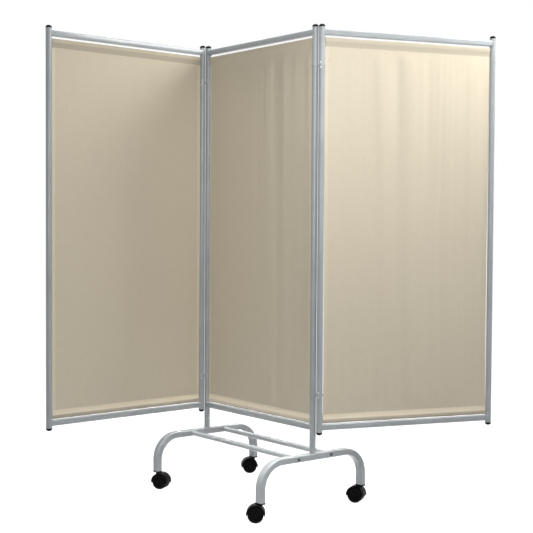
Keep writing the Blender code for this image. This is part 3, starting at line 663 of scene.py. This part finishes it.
# %% Domed end caps
rim = POST_RADIUS + GAP
plug = POST_RADIUS - POST_WALL - GAP
profile = [(0.0, -0.013), (plug * 0.9, -0.013), (plug, -0.012), (plug, GAP), (rim - 0.0004, GAP), (rim, 0.0007)]
cap = turned("cap", profile + dome(rim, 0.0018, 0.0085, 10), 40)
cap_spots = [(f"centre_cap_{side}", "stand", there, False) for side, there in uprights.items()]
for side in uprights:
    body, place, width, _ = panels[f"{side}_wing"]
    for which, x in (("inner", 0.0), ("outer", width)):
        there = place @ Matrix.Translation((x, 0.0, 0.0))
        cap_spots.append((f"{side}_wing_{which}_cap_top", body, there, False))
        cap_spots.append((f"{side}_wing_{which}_cap_bottom", body, there, True))
for name, body, there, low in cap_spots:
    height = WING_FOOT if low else POST_TOP
    over = Matrix.Rotation(math.pi, 4, "X") if low else Matrix()
    twin = copy_of(cap, name + "_dome", there @ lift(height) @ over)
    finish(twin, body, black_abs, "black_plastic", name)
discard(cap)
print(len(cap_spots), "end caps")

# %% [markdown]
# Rods: bright 6 mm steel rods that carry the cloth. Their ends are hidden in the posts.

# %% Cloth rods
ROD_INTO_POST = 0.0035
for panel, (body, place, width, _) in panels.items():
    start = POST_RADIUS - POST_WALL - ROD_INTO_POST
    end = width - start
    rod = turned("rod", [(0.0, start), (ROD_RADIUS, start), (ROD_RADIUS, end), (0.0, end)], 24)
    rod.data.transform(Matrix.Rotation(math.pi / 2, 4, "Y"))
    for level, height in ROD_HEIGHTS.items():
        name = f"{panel}_rod_{level}"
        twin = copy_of(rod, name + "_bar", place @ lift(height))
        finish(twin, body, drawn_steel, "rod_steel", name)
    discard(rod)
print("six rods at", ROD_HEIGHTS)

# %% [markdown]
# Screws: pan-head screws with a cross recess stand above and below each strap and keep it at its height,
# and a larger one pins each upright on its spigot. Each head is turned, and two crossed bars cut the recess.

# %% Pan-head screws
def pan_head(name, radius, height, root):
    profile = [(0.0, -root), (radius * 0.45, -root), (radius * 0.45, 0.0), (radius * 0.94, 0.0)]
    piece = turned(name, profile + dome(radius, height * 0.12, height * 0.88, 7), 28)
    for turn in (0.0, math.pi / 2):
        slot = box("slot", (radius * 1.05, radius * 0.22, height * 1.1), (0.0, 0.0, height * 1.1), turn)
        trim_with(piece, slot)
    smooth(piece)
    return piece


def screws_on(post_name, body, place, heading, heights, pattern):
    """Set screws into a post's wall at a heading, one for each height."""
    turn, lay_down = Matrix.Rotation(math.radians(heading), 4, "Z"), Matrix.Rotation(math.pi / 2, 4, "Y")
    for index, height in enumerate(heights):
        there = place @ turn @ Matrix.Translation((POST_RADIUS, 0.0, height)) @ lay_down
        twin = copy_of(pattern, f"{post_name}_screw_{index + 1}", there)
        finish(twin, body, bright_zinc, "bolt_steel")


keeper = pan_head("keeper", 0.0033, 0.0015, 0.0008)
pin = pan_head("pin", 0.00425, 0.0026, 0.0008)
KEEPER_OFFSET, PIN_HEIGHT = 0.008, 0.252
keeper_heights = [h + s * KEEPER_OFFSET for h in HINGE_HEIGHTS.values() for s in (-1, 1)]
for side, heading in (("left", 45.0), ("right", -135.0)):
    wing = f"{side}_wing"
    screws_on(wing + "_post", wing, panels[wing][1], heading, keeper_heights, keeper)
for side, there in uprights.items():
    screws_on(f"{side}_upright", "stand", there, 135.0, keeper_heights, keeper)
for side, heading in (("left", 0.0), ("right", 180.0)):
    screws_on(f"{side}_spigot", "stand", uprights[side], heading, [PIN_HEIGHT], pin)
discard(keeper, pin)
print("screws at", [round(h, 4) for h in keeper_heights])

# %% [markdown]
# Bolts: a domed head with a hexagon socket and a thin washer holds each spreader bar from the outer side
# of its leg. Shank, washer and head are turned together, and a six-sided bar cuts the socket.

# %% Spreader bolts
head = LEG_FACE + GAP
BOLT_RADIUS, BOLT_HEAD, BOLT_FOOT = 0.003, 0.00625, -0.032
profile = [(0.0, BOLT_FOOT), (BOLT_RADIUS - 0.0002, BOLT_FOOT), (BOLT_RADIUS, BOLT_FOOT + 0.0005),
           (BOLT_RADIUS, head), (BOLT_HEAD - 0.00025, head), (BOLT_HEAD, head + 0.0003)]
bolt = turned("bolt", profile + dome(BOLT_HEAD, head + 0.0012, 0.0036, 8), 36)
trim_with(bolt, round_bar("socket_cutter", 0.0023, 0.0056, "Z", (0.0, 0.0, head + 0.0048), 6))
smooth(bolt)
bolt.data.transform(Matrix.Rotation(-math.pi / 2, 4, "Y"))
for side, axis, turn in (("left", left_axis, 0.0), ("right", right_axis, 180.0)):
    for end, direction in (("front", -1), ("rear", 1)):
        spot = axis + Vector((0.0, direction * BAR_HALF_SPACING, 0.0))
        there = lift(LEG_AXIS) @ stand_at(spot, turn)
        twin = copy_of(bolt, f"{end}_{side}_bolt", there)
        finish(twin, "stand", black_zinc, "bolt_steel", f"spreader_bolt_{end}_{side}")
discard(bolt)
print("four bolts at", LEG_AXIS, "m")

# %% [markdown]
# Hinge straps: each strap is a flat steel figure of eight, one ring round the upright and one round the
# wing's post, so that the wing can fold flat against either face. Two discs and a waist are joined, the two
# bores are cut, and a small bevel breaks the sheared edges.

# %% Figure-of-eight hinge straps
LINK = 0.024
STRAP_RING, STRAP_HALF, STRAP_WAIST = POST_RADIUS + GAP + 0.0011, 0.0042, (0.0088, 0.013)
strap = round_bar("strap", STRAP_RING, 2 * STRAP_HALF, "Z", sides=56)
other_disc = round_bar("other_disc", STRAP_RING, 2 * STRAP_HALF, "Z", (LINK, 0.0, 0.0), 56)
trim_with(strap, other_disc, "UNION")
trim_with(strap, box("waist", (*STRAP_WAIST, 2 * STRAP_HALF), (LINK / 2, 0.0, 0.0)), "UNION")
for x in (0.0, LINK):
    trim_with(strap, round_bar("bore", POST_RADIUS + GAP, 0.03, "Z", (x, 0.0, 0.0), 56))
modify(strap, "BEVEL", width=0.0004, segments=2, limit_method="ANGLE", angle_limit=math.radians(50))
smooth(strap)
for side, heading in LINK_HEADINGS.items():
    for level, height in HINGE_HEIGHTS.items():
        there = lift(height) @ stand_at(pivots[f"{side}_link"], heading)
        twin = copy_of(strap, f"{side}_{level}_hinge_strap", there)
        finish(twin, f"{side}_link", powder_coat, "powder_coat", f"{side}_hinge_link_{level}")
discard(strap)
print("four hinge straps at", HINGE_HEIGHTS)

# %% [markdown]
# Caster sockets: a black plastic plug in each leg's end, with a flange that shows as a thin dark collar. Two
# cubes with the leg's own rounded corners are joined, and a hole saw bores them for the caster's stem.

# %% Caster sockets
SOCKET_FOOT = 0.0626


def corner_block(name, inset, low, high):
    """A block with the leg's outline, smaller by the inset all round."""
    size = (LEG_WIDTH - 2 * inset, LEG_HEIGHT - 2 * inset, high - low)
    return rounded_box(name, size, (0.0, 0.0, (low + high) / 2), 2, LEG_CORNER - min(inset, 0.002))


socket = corner_block("socket", -0.0008, SOCKET_FOOT, LEG_END - GAP)
modify(socket, "BEVEL", width=0.0005, segments=2, limit_method="ANGLE", angle_limit=math.radians(60))
trim_with(socket, corner_block("plug", LEG_WALL + GAP, LEG_END - 0.002, LEG_END + 0.030), "UNION")
trim_with(socket, round_bar("stem_bore", 0.0058, 0.08, "Z", (0.0, 0.0, LEG_END), 40))
smooth(socket)
corners = {f"{end}_{side}": pivots[f"caster_{end}_{side}"] for end in ("front", "rear") for side in uprights}
for corner_name, spot in corners.items():
    twin = copy_of(socket, f"{corner_name}_socket_plug", stand_at(spot, 0.0))
    finish(twin, "stand", black_abs, "black_plastic", f"caster_socket_{corner_name}")
discard(socket)
print("four sockets")

# %% [markdown]
# Caster hoods: the hood is a half drum that covers both wheels, with a web between them that carries the
# axle, and a neck and stem above. A cylinder lying on its side is bisected below its middle, its rims are
# rounded, and a well is cut from each side for the wheel. The neck is joined on by a Boolean.

# %% Caster hoods
AXLE_HEIGHT, TRAIL = 0.02815, 0.016
HOOD_RADIUS, HOOD_WALL, HOOD_WIDTH, WEB = 0.0335, 0.0026, 0.045, 0.005
hood = round_bar("hood", HOOD_RADIUS, HOOD_WIDTH, "Y", sides=72)
edit(hood)
bpy.ops.mesh.select_all(action="SELECT")
lap = HOOD_RADIUS * math.sin(math.radians(7.0))
bpy.ops.mesh.bisect(plane_co=(0.0, 0.0, -lap), plane_no=(0.0, 0.0, 1.0), use_fill=True, clear_inner=True)
pick(hood, "edges", lambda e: all(abs(abs(v.co.y) - HOOD_WIDTH / 2) < 1e-5 for v in e.verts)
     and any(v.co.z > -lap + 1e-5 for v in e.verts))
bpy.ops.mesh.bevel(offset=0.0016, segments=4, affect="EDGES")
done()
outward(hood)
WELL = 0.04
for side in (-1, 1):
    middle = (0.0, side * (WELL + WEB) / 2, 0.0)
    trim_with(hood, round_bar("well", HOOD_RADIUS - HOOD_WALL, WELL, "Y", middle, 72))
modify(hood, "BEVEL", width=0.0003, segments=2, limit_method="ANGLE", angle_limit=math.radians(60))
hood.data.transform(Matrix.Translation((TRAIL, 0.0, AXLE_HEIGHT)))
neck_top = SOCKET_FOOT - GAP
neck_foot, stem_top = AXLE_HEIGHT + 0.012, neck_top + 0.026
neck = [(0.0, neck_foot), (0.0065, neck_foot), (0.0065, neck_top - 0.0006), (0.0059, neck_top),
        (0.0055, neck_top), (0.0055, stem_top - 0.001), (0.0045, stem_top), (0.0, stem_top)]
trim_with(hood, turned("neck", neck, 32), "UNION", "MANIFOLD")
smooth(hood, 35.0)
headings = {"front_left": 30.0, "front_right": 229.0, "rear_left": 238.0, "rear_right": 208.0}
for corner_name, spot in corners.items():
    twin = copy_of(hood, f"{corner_name}_caster_hood", stand_at(spot, headings[corner_name]))
    finish(twin, f"caster_{corner_name}", black_abs, "black_plastic", f"caster_hood_{corner_name}")
discard(hood)
print("four hoods,", round(2000 * HOOD_RADIUS), "mm across")

# %% [markdown]
# Wheels: two nylon wheels to a caster. The rounded tread, the dished face and the raised hub come from one
# turned profile, and shallow ribs on the dish stiffen the disc, as on the moulded wheel.

# %% Caster wheels
WHEEL, WIDE = 0.0285, 0.0205
wheel_profile = [(0.0033, 0.0), (0.0262, 0.0), (0.0276, 0.0006), (0.0283, 0.0017), (WHEEL, 0.0030),
                 (WHEEL, 0.0158), (0.0280, 0.0176), (0.0268, 0.0192), (0.0252, 0.0202), (0.0238, WIDE),
                 (0.0228, 0.0200), (0.0214, 0.0178), (0.0110, 0.0175), (0.0086, 0.0180), (0.0078, 0.0189),
                 (0.0033, 0.0190)]
wheel = turned("wheel", wheel_profile, 56, closed=True)
RIBS = 9
for step in range(RIBS):
    rib = box("rib", (0.0130, 0.0016, 0.0016), (0.0155, 0.0, 0.0178))
    rib.data.transform(Matrix.Rotation(math.tau * step / RIBS, 4, "Z"))
    trim_with(wheel, rib, "UNION")
smooth(wheel)
PIN_RADIUS, PIN_END, WHEEL_OFFSET = 0.0029, 0.0245, 0.003
axle_cap = turned("axle_cap", [(0.0, -PIN_END), (PIN_RADIUS, -PIN_END), (PIN_RADIUS, PIN_END), (0.0, PIN_END)],
                  20)
axle_cap.data.transform(Matrix.Rotation(math.pi / 2, 4, "X"))
for corner_name, spot in corners.items():
    there = stand_at(spot, headings[corner_name]) @ Matrix.Translation((TRAIL, 0.0, AXLE_HEIGHT))
    axle_pin = copy_of(axle_cap, f"{corner_name}_axle_pin", there @ Matrix.Scale(0.9, 4, (0.0, 1.0, 0.0)))
    finish(axle_pin, f"caster_{corner_name}", black_nylon, "wheel_nylon")
    for letter, side in (("a", -1), ("b", 1)):
        out = Matrix.Translation((0.0, side * WHEEL_OFFSET, 0.0))
        face = out @ Matrix.Rotation(-side * math.pi / 2, 4, "X")
        twin = copy_of(wheel, f"{corner_name}_{letter}_wheel", there @ face)
        finish(twin, f"wheel_{corner_name}_{letter}", black_nylon, "wheel_nylon",
               f"caster_wheel_{corner_name}_{letter}")
discard(wheel, axle_cap)
print("eight wheels,", round(2000 * WHEEL), "mm across")

# %% [markdown]
# Cloth panels. Each is one length of cloth, cut longer than the panel, turned over both rods and sewn down
# 32 mm from its ends, so that each rod lies in a casing. A cloth simulation could hang it, but the casings
# hold it at both ends, and what remains are soft upright gathers that can be drawn more surely by a few
# waves. So a flat grid of the cut size is laid out first, which gives the UV map, and each of its points is
# then carried to its place: round the rod, down the panel, and round the lower rod.

# %% The path of the cloth round its rods
CLOTH = 0.0009
RAW_EDGE, HEM, HEM_SEAM = 0.004, 0.0121, 0.0098
TURN = ROD_RADIUS + 0.0006 + CLOTH / 2
SEAM_TOP, SEAM_FOOT = CLOTH_TOP - CASING, CLOTH_FOOT + CASING


def casing_path():
    """(across, height) points from the raw edge behind the seam, over the upper rod, down to the seam."""
    rod = ROD_HEIGHTS["top"]
    layer, edge = CLOTH * 1.1, SEAM_TOP - RAW_EDGE
    back = [(layer + (TURN - layer) * t ** 1.5, edge + (rod - edge) * t)
            for t in (0.0, 0.08, 0.16, 0.3, 0.45, 0.6, 0.75, 0.9)]
    over = [(TURN * math.cos(math.pi * t / 10), rod + TURN * math.sin(math.pi * t / 10)) for t in range(11)]
    front = [(-TURN * t ** 1.5, SEAM_TOP + (rod - SEAM_TOP) * t)
             for t in (0.9, 0.75, 0.6, 0.45, 0.3, 0.2, 0.1, 0.05)]
    return back + over + front


upper = casing_path()
middle = (CLOTH_TOP + CLOTH_FOOT) / 2
shares = [0.0, 0.0011, 0.004] + [t / 96 for t in range(1, 96)] + [0.996, 0.9989, 1.0]
MAIN_ROWS = len(shares) - 1
ROLL_END = 20
main = [(0.0, SEAM_TOP - (SEAM_TOP - SEAM_FOOT) * share) for share in shares]
path = upper + main + [(a, 2 * middle - h) for a, h in reversed(upper)]
lengths = [0.0]
for (a, h), (b, k) in zip(path, path[1:]):
    lengths.append(lengths[-1] + math.hypot(b - a, k - h))
CUT_LENGTH = lengths[-1]
panel_tall = round(CLOTH_TOP - CLOTH_FOOT, 4)
print("the cloth is cut", round(CUT_LENGTH, 4), "m long for a panel", panel_tall, "m tall")


# %% [markdown]
# How far the cloth stands off its plane. Three kinds of wave are added: tight puckers that fade within a
# few centimetres of each casing seam, soft folds that hang from the upper seam and fade further down, and
# a slow swell of the whole sheet, with fine creases on it. Each panel has its own mix, since no two hang
# alike: the left wing hangs almost smooth, the right wing has its folds about its middle, and the centre
# panel towards its right post.

# %% Gathers, folds and swell
# The tones in each look are painted light and shade on the casings, rolls and side hems, set for how each panel
# is lit.
panel_looks = {
    "left_wing": {"folds": 0.0012, "near": 0.55, "reach": 0.40, "swell": 0.0030, "seed": 3.1,
                  "top_tone": 0.73, "foot_tone": 1.22, "roll_tone": 0.55, "hem_tone": 1.12},
    "centre": {"folds": 0.0080, "near": 0.72, "reach": 0.30, "swell": 0.0012, "seed": 7.7,
               "top_tone": 1.02, "foot_tone": 1.26, "roll_tone": 0.72, "hem_tone": 1.10},
    "right_wing": {"folds": 0.0055, "near": 0.55, "reach": 0.35, "swell": 0.0045, "seed": 5.3,
                   "top_tone": 0.80, "foot_tone": 1.24, "roll_tone": 0.55, "hem_tone": 1.06},
}


def stand_off(look, share, height):
    """The cloth's distance from its plane at a share of its width and at a height."""
    down = (SEAM_TOP - height) / (SEAM_TOP - SEAM_FOOT)
    if down <= 0.0 or down >= 1.0:
        return 0.0
    hold = min(1.0, down / 0.05, (1.0 - down) / 0.04)
    hold = hold * hold * (3 - 2 * hold)
    seed = look["seed"]
    lean = share + 0.03 * noise.noise(Vector((share * 3, down * 1.5, seed + 2.0)))
    near = math.exp(-((share - look["near"]) / look["reach"]) ** 2)
    broad = noise.noise(Vector((lean * 13, down * 0.7, seed)))
    fine = noise.noise(Vector((lean * 29, down * 1.2, seed + 6.0)))
    folds = look["folds"] * near * (broad + 0.30 * fine)
    folds *= math.exp(-down / 0.45) + 0.28 + 0.4 * math.exp(-(1.0 - down) / 0.15)
    swell = look["swell"] * noise.noise(Vector((share * 2.6, down * 1.3, seed + 9.0)))
    swell *= math.sin(math.pi * down) ** 0.5
    creases = 0.0005 * noise.noise(Vector((share * 22, down * 6.0, seed + 4.0)))
    return hold * (folds + 1.8 * swell + creases)


def puckers(look, share, height):
    """Small ripples beside the seams, where the sewing draws the cloth in."""
    away = min(abs(height - SEAM_TOP), abs(height - SEAM_FOOT))
    fade = math.exp(-away / 0.016)
    return 0.00045 * fade * noise.noise(Vector((share * 46, height * 14, look["seed"])))


print("cloth waves ready")


# %% Cloth panels as real sheets
def cloth_columns(width):
    """Places across the cloth: closer at the hems, even between them."""
    edge = [0.0, 0.0012, 0.004, 0.008, 0.0106, 0.0120, 0.0134, 0.018]
    span = width - 2 * CLOTH_EDGE
    inner = [0.018 + (span - 0.036) * t / 108 for t in range(1, 108)]
    return edge + inner + [span - x for x in reversed(edge)]


def cloth_point(look, face, width, x, row):
    """Where a point of the flat cloth hangs, in the panel's frame. face is the side that is looked at."""
    across, height = path[row]
    share = x / (width - 2 * CLOTH_EDGE)
    ripple = stand_off(look, share, height) + puckers(look, share, height)
    slack = max(0.0, 1.0 - abs(height - CLOTH_FOOT) / 0.012)
    hang = 0.0009 * slack * noise.noise(Vector((share * 16, 3.3, look["seed"])))
    return Vector((CLOTH_EDGE + x, face * (ripple - across), height + hang))


def painted_light_tone(look, width, x, row):
    """Painted light and shade at a point of the cloth: lighter or darker by the layers there and by each
    panel's light.
    """
    if row <= len(upper):
        return look["top_tone"] if row > ROLL_END else look["top_tone"] ** 0.3
    if row >= len(upper) + MAIN_ROWS:
        return look["foot_tone"] * (1.0 if row < len(path) - 1 - ROLL_END else look["roll_tone"])
    return look["hem_tone"] if min(x, width - 2 * CLOTH_EDGE - x) < HEM else 1.0


def lay_cloth(name, panel, columns, rows, behind=0.0):
    """Carry a flat grid to its place in the panel's frame, with its UV map and its painted light and shade."""
    _, _, width, face = panels[panel]
    look = panel_looks[panel]
    nothing_selected()
    bpy.ops.mesh.primitive_grid_add(x_subdivisions=len(columns) - 1, y_subdivisions=len(rows) - 1, size=1.0)
    cloth = named(name)
    painted_light_values = cloth.data.attributes.new("painted_light_tone", "FLOAT", "POINT")
    flat_map = cloth.data.uv_layers.active
    flat_map.name = "flat_cloth"
    spots = {}
    for vert in cloth.data.vertices:
        x = columns[round((vert.co.x + 0.5) * (len(columns) - 1))]
        row = rows[round((0.5 - vert.co.y) * (len(rows) - 1))]
        spots[vert.index] = (x, lengths[row])
        # painted light and shade of the casings, rolls and hems
        painted_light_values.data[vert.index].value = painted_light_tone(look, width, x, row)
        vert.co = cloth_point(look, face, width, x, row) - Vector((0.0, face * behind, 0.0))
    for loop in cloth.data.loops:
        flat_map.data[loop.index].uv = spots[loop.vertex_index]
    return cloth


for panel, (body, place, width, face) in panels.items():
    cloth = lay_cloth(f"{panel}_cloth", panel, cloth_columns(width), range(len(path)))
    area = sum(p.area for p in cloth.data.polygons)
    edit(cloth)
    bpy.ops.mesh.select_all(action="SELECT")
    bpy.ops.mesh.normals_make_consistent(inside=False)
    done()
    modify(cloth, "SOLIDIFY", thickness=CLOTH, offset=0.0)
    settle(cloth, place)
    smooth(cloth, 50.0)
    finish(cloth, body, cream_cloth, "cloth", f"{panel}_fabric")
    print(panel, "cloth area", round(area, 4), "of a cut", round((width - 2 * CLOTH_EDGE) * CUT_LENGTH, 4))


# %% [markdown]
# Seams and hems. The sides of the cloth are turned over once more, which shows as a strip about 12 mm wide
# on the far face with a row of stitches along it, and the casings are closed by a row of stitches. One
# stitch is a small stretched ball, and it is repeated every 4 mm along each row, on both faces.

# %% Hem strips
def hem_strip(panel, end):
    body, place, width, face = panels[panel]
    across = [0.0004, 0.003, 0.006, 0.009, 0.0116]
    if end == "end":
        across = [width - 2 * CLOTH_EDGE - x for x in across]
    first = len(upper)
    strip = lay_cloth(f"{panel}_hem_{end}", panel, across, range(first + 1, first + MAIN_ROWS), CLOTH * 1.05)
    outward(strip)
    modify(strip, "SOLIDIFY", thickness=CLOTH * 0.9, offset=0.0)
    settle(strip, place)
    smooth(strip, 50.0)
    return finish(strip, body, cream_cloth, "cloth")


hems = {panel: [hem_strip(panel, "start"), hem_strip(panel, "end")] for panel in panels}
print("hem strips:", sum(len(pair) for pair in hems.values()))

# %% Stitches
nothing_selected()
bpy.ops.mesh.primitive_uv_sphere_add(segments=6, ring_count=4, radius=0.5)
stitch = settle(named("stitch"))
stitch_points = [v.co.copy() for v in stitch.data.vertices]
stitch_faces = [list(p.vertices) for p in stitch.data.polygons]
discard(stitch)
STITCH_STEP, STITCH_LONG, STITCH_THICK = 0.004, 0.0030, 0.00055


def sewn_rows(panel):
    """Of every stitch of a panel: its centre, its direction, and the cloth's thickness behind its seam."""
    body, place, width, face = panels[panel]
    look = panel_looks[panel]
    span = width - 2 * CLOTH_EDGE
    found = []
    first = len(upper)
    for row, thick in ((first, 1.6), (first + MAIN_ROWS, 1.6)):
        count = int(span / STITCH_STEP)
        for index in range(count):
            spot = cloth_point(look, face, width, (index + 0.5) * span / count, row)
            found.append((spot, Vector((1.0, 0.0, 0.0)), thick))
    for x in (HEM_SEAM, span - HEM_SEAM):
        height = SEAM_TOP - 0.006
        while height > SEAM_FOOT + 0.006:
            ripple = stand_off(look, x / span, height) + puckers(look, x / span, height)
            found.append((Vector((CLOTH_EDGE + x, face * ripple, height)), Vector((0.0, 0.0, 1.0)), 1.5))
            height -= STITCH_STEP
    return found


for panel, (body, place, width, face) in panels.items():
    points, faces = [], []
    for spot, along_row, thick in sewn_rows(panel):
        for side in (face, -face):
            off = CLOTH * (0.5 if side == face else thick) + 0.0001
            base = len(points)
            for p in stitch_points:
                lie = along_row * (p.x * STITCH_LONG) + Vector((0.0, p.y * STITCH_THICK, 0.0))
                other = Vector((1.0, 0.0, 0.0)) if along_row.z else Vector((0.0, 0.0, 1.0))
                points.append(spot + lie + other * (p.z * STITCH_THICK) + Vector((0.0, side * off, 0.0)))
            faces += [[base + i for i in f] for f in stitch_faces]
    mesh = bpy.data.meshes.new(f"{panel}_stitches")
    mesh.from_pydata(points, [], faces)
    seam = add_object(f"{panel}_stitches", mesh)
    outward(seam)
    settle(seam, place)
    smooth(seam, 80.0)
    finish(seam, body, sewing_thread, "cloth")
    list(hems[panel])
    print(panel, "stitches:", len(points) // len(stitch_points))

# %% [markdown]
# The camera stands where the photograph was taken: a little above the middle of the screen, almost level,
# with a moderate long lens. Its axes are worked out from the heading, the small tilt down and the small roll.

# %% Camera
yaw, pitch, roll = math.radians(-51.38), math.radians(2.04), math.radians(0.33)
forward = Vector((math.sin(yaw) * math.cos(pitch), math.cos(yaw) * math.cos(pitch), -math.sin(pitch)))
right = Vector((math.cos(yaw), -math.sin(yaw), 0.0))
up = right.cross(forward)
turned_right = math.cos(roll) * right + math.sin(roll) * up
turned_up = -math.sin(roll) * right + math.cos(roll) * up
camera_data = bpy.data.cameras.new("photo_camera")
camera_data.lens, camera_data.sensor_width, camera_data.sensor_fit = 76.73, 36.0, "HORIZONTAL"
camera = add_object("photo_camera", camera_data)
axes = Matrix((turned_right, turned_up, -forward)).transposed().to_4x4()
camera.matrix_world = Matrix.Translation((3.27358, -2.63191, 1.0229)) @ axes
bpy.context.scene.camera = camera
print("camera at", [round(v, 3) for v in camera.location])

# %% [markdown]
# The floor is a plain sheet. It catches the soft shadow of the casters, and a light of its own, seen only by
# the camera and by reflections, lifts it to white, as in a studio picture. Its paint is a middle grey, so
# that it throws little light back up and the undersides of the tubes stay dark.

# %% Floor
def seen_directly(tree):
    """1 where a camera, mirror or glass ray arrives, and 0 for the rays that light the object."""
    ray = node(tree, "ShaderNodeLightPath").outputs
    either = node(tree, "ShaderNodeMath", {"operation": "MAXIMUM"},
                  links={0: ray["Is Camera Ray"], 1: ray["Is Glossy Ray"]})
    return node(tree, "ShaderNodeMath", {"operation": "MAXIMUM"},
                links={0: either.outputs[0], 1: ray["Is Transmission Ray"]}).outputs[0]


nothing_selected()
bpy.ops.mesh.primitive_plane_add(size=14.0, location=(0.0, 0.0, -0.0004))
floor = settle(named("studio_floor"))
floor_paint, tree, shader = new_material("matt_grey_floor", Roughness=0.9)
shader.inputs["Base Color"].default_value = hex_colour("#9C9C9C")
FLOOR_GLOW = 0.86
glow_strength = node(tree, "ShaderNodeMath", {"operation": "MULTIPLY"}, {1: FLOOR_GLOW},
                     {0: seen_directly(tree)})
glow = node(tree, "ShaderNodeEmission", links={"Strength": glow_strength.outputs[0]})
lit = node(tree, "ShaderNodeAddShader", links={0: shader.outputs[0], 1: glow.outputs[0]})
tree.links.new(lit.outputs[0], tree.nodes["Material Output"].inputs["Surface"])
floor.data.materials.append(floor_paint)
floor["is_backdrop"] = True
print("floor ready")

# %% [markdown]
# Light. The photograph has its light at the right and from behind, above the folded-back wing, so that this
# wing is the brightest, most of all at its top, and the centre panel, which is turned away, the darkest. A
# soft lamp behind the screen gives that, and what passes over the centre panel reaches the other wing's
# upper part. A weak close lamp grazes the centre panel and shows its folds, one beside the camera lights the
# posts, one high overhead, with a grid that keeps its light upright, lights the tops of the legs, and the
# world gives the plain fill. One far behind gives the backs of the panels their colour; it isn't seen in
# reflections, or the tops of the legs would mirror it. Camera, mirror and glass rays see the world as pure
# white.

# %% Lamps and world
lamps = {
    "close_lamp": ((0.80, -0.38, 1.65), (0.15, 0.1, 1.0), 0.6, 180.0, 3.1),
    "rear_lamp": ((1.10, 0.90, 2.30), (0.15, 0.1, 1.0), 0.8, 180.0, 23.4),
    "front_lamp": ((2.50, -2.10, 1.30), (0.15, 0.1, 1.0), 0.8, 180.0, 17.0),
    "back_lamp": ((-2.40, 2.10, 1.50), (0.0, 0.0, 1.0), 1.2, 180.0, 24.0),
    "top_lamp": ((0.00, 0.00, 6.00), (0.00, 0.00, 0.0), 1.0, 14.0, 7.7),
}
for lamp_name, (spot, target, size, spread, power) in lamps.items():
    lamp_data = bpy.data.lights.new(lamp_name, "AREA")
    lamp_data.shape, lamp_data.size, lamp_data.energy = "SQUARE", size, power
    lamp_data.spread = math.radians(spread)
    lamp = add_object(lamp_name, lamp_data)
    lamp.rotation_euler = (Vector(target) - Vector(spot)).to_track_quat("-Z", "Y").to_euler()
    lamp.location = spot
    lamp.visible_glossy = lamp_name != "back_lamp"
world = bpy.data.worlds.new("studio")
world.use_nodes = True
bpy.context.scene.world = world
tree = world.node_tree
tree.nodes.clear()
fill = node(tree, "ShaderNodeBackground", values={"Color": hex_colour("#F4F6FA"), "Strength": 0.39})
white = node(tree, "ShaderNodeBackground", values={"Color": (1.0, 1.0, 1.0, 1.0), "Strength": 1.0})
mixed = node(tree, "ShaderNodeMixShader",
             links={0: seen_directly(tree), 1: fill.outputs[0], 2: white.outputs[0]})
node(tree, "ShaderNodeOutputWorld", links={"Surface": mixed.outputs[0]})
bpy.context.scene.view_settings.view_transform = "Standard"
print("lamps and world ready")

# %% Sizes and finish
visual_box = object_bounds()
for box_name, (low, high) in (("solids", cad_box), ("dressed", visual_box)):
    print(box_name, [round(b - a, 4) for a, b in zip(low, high)])
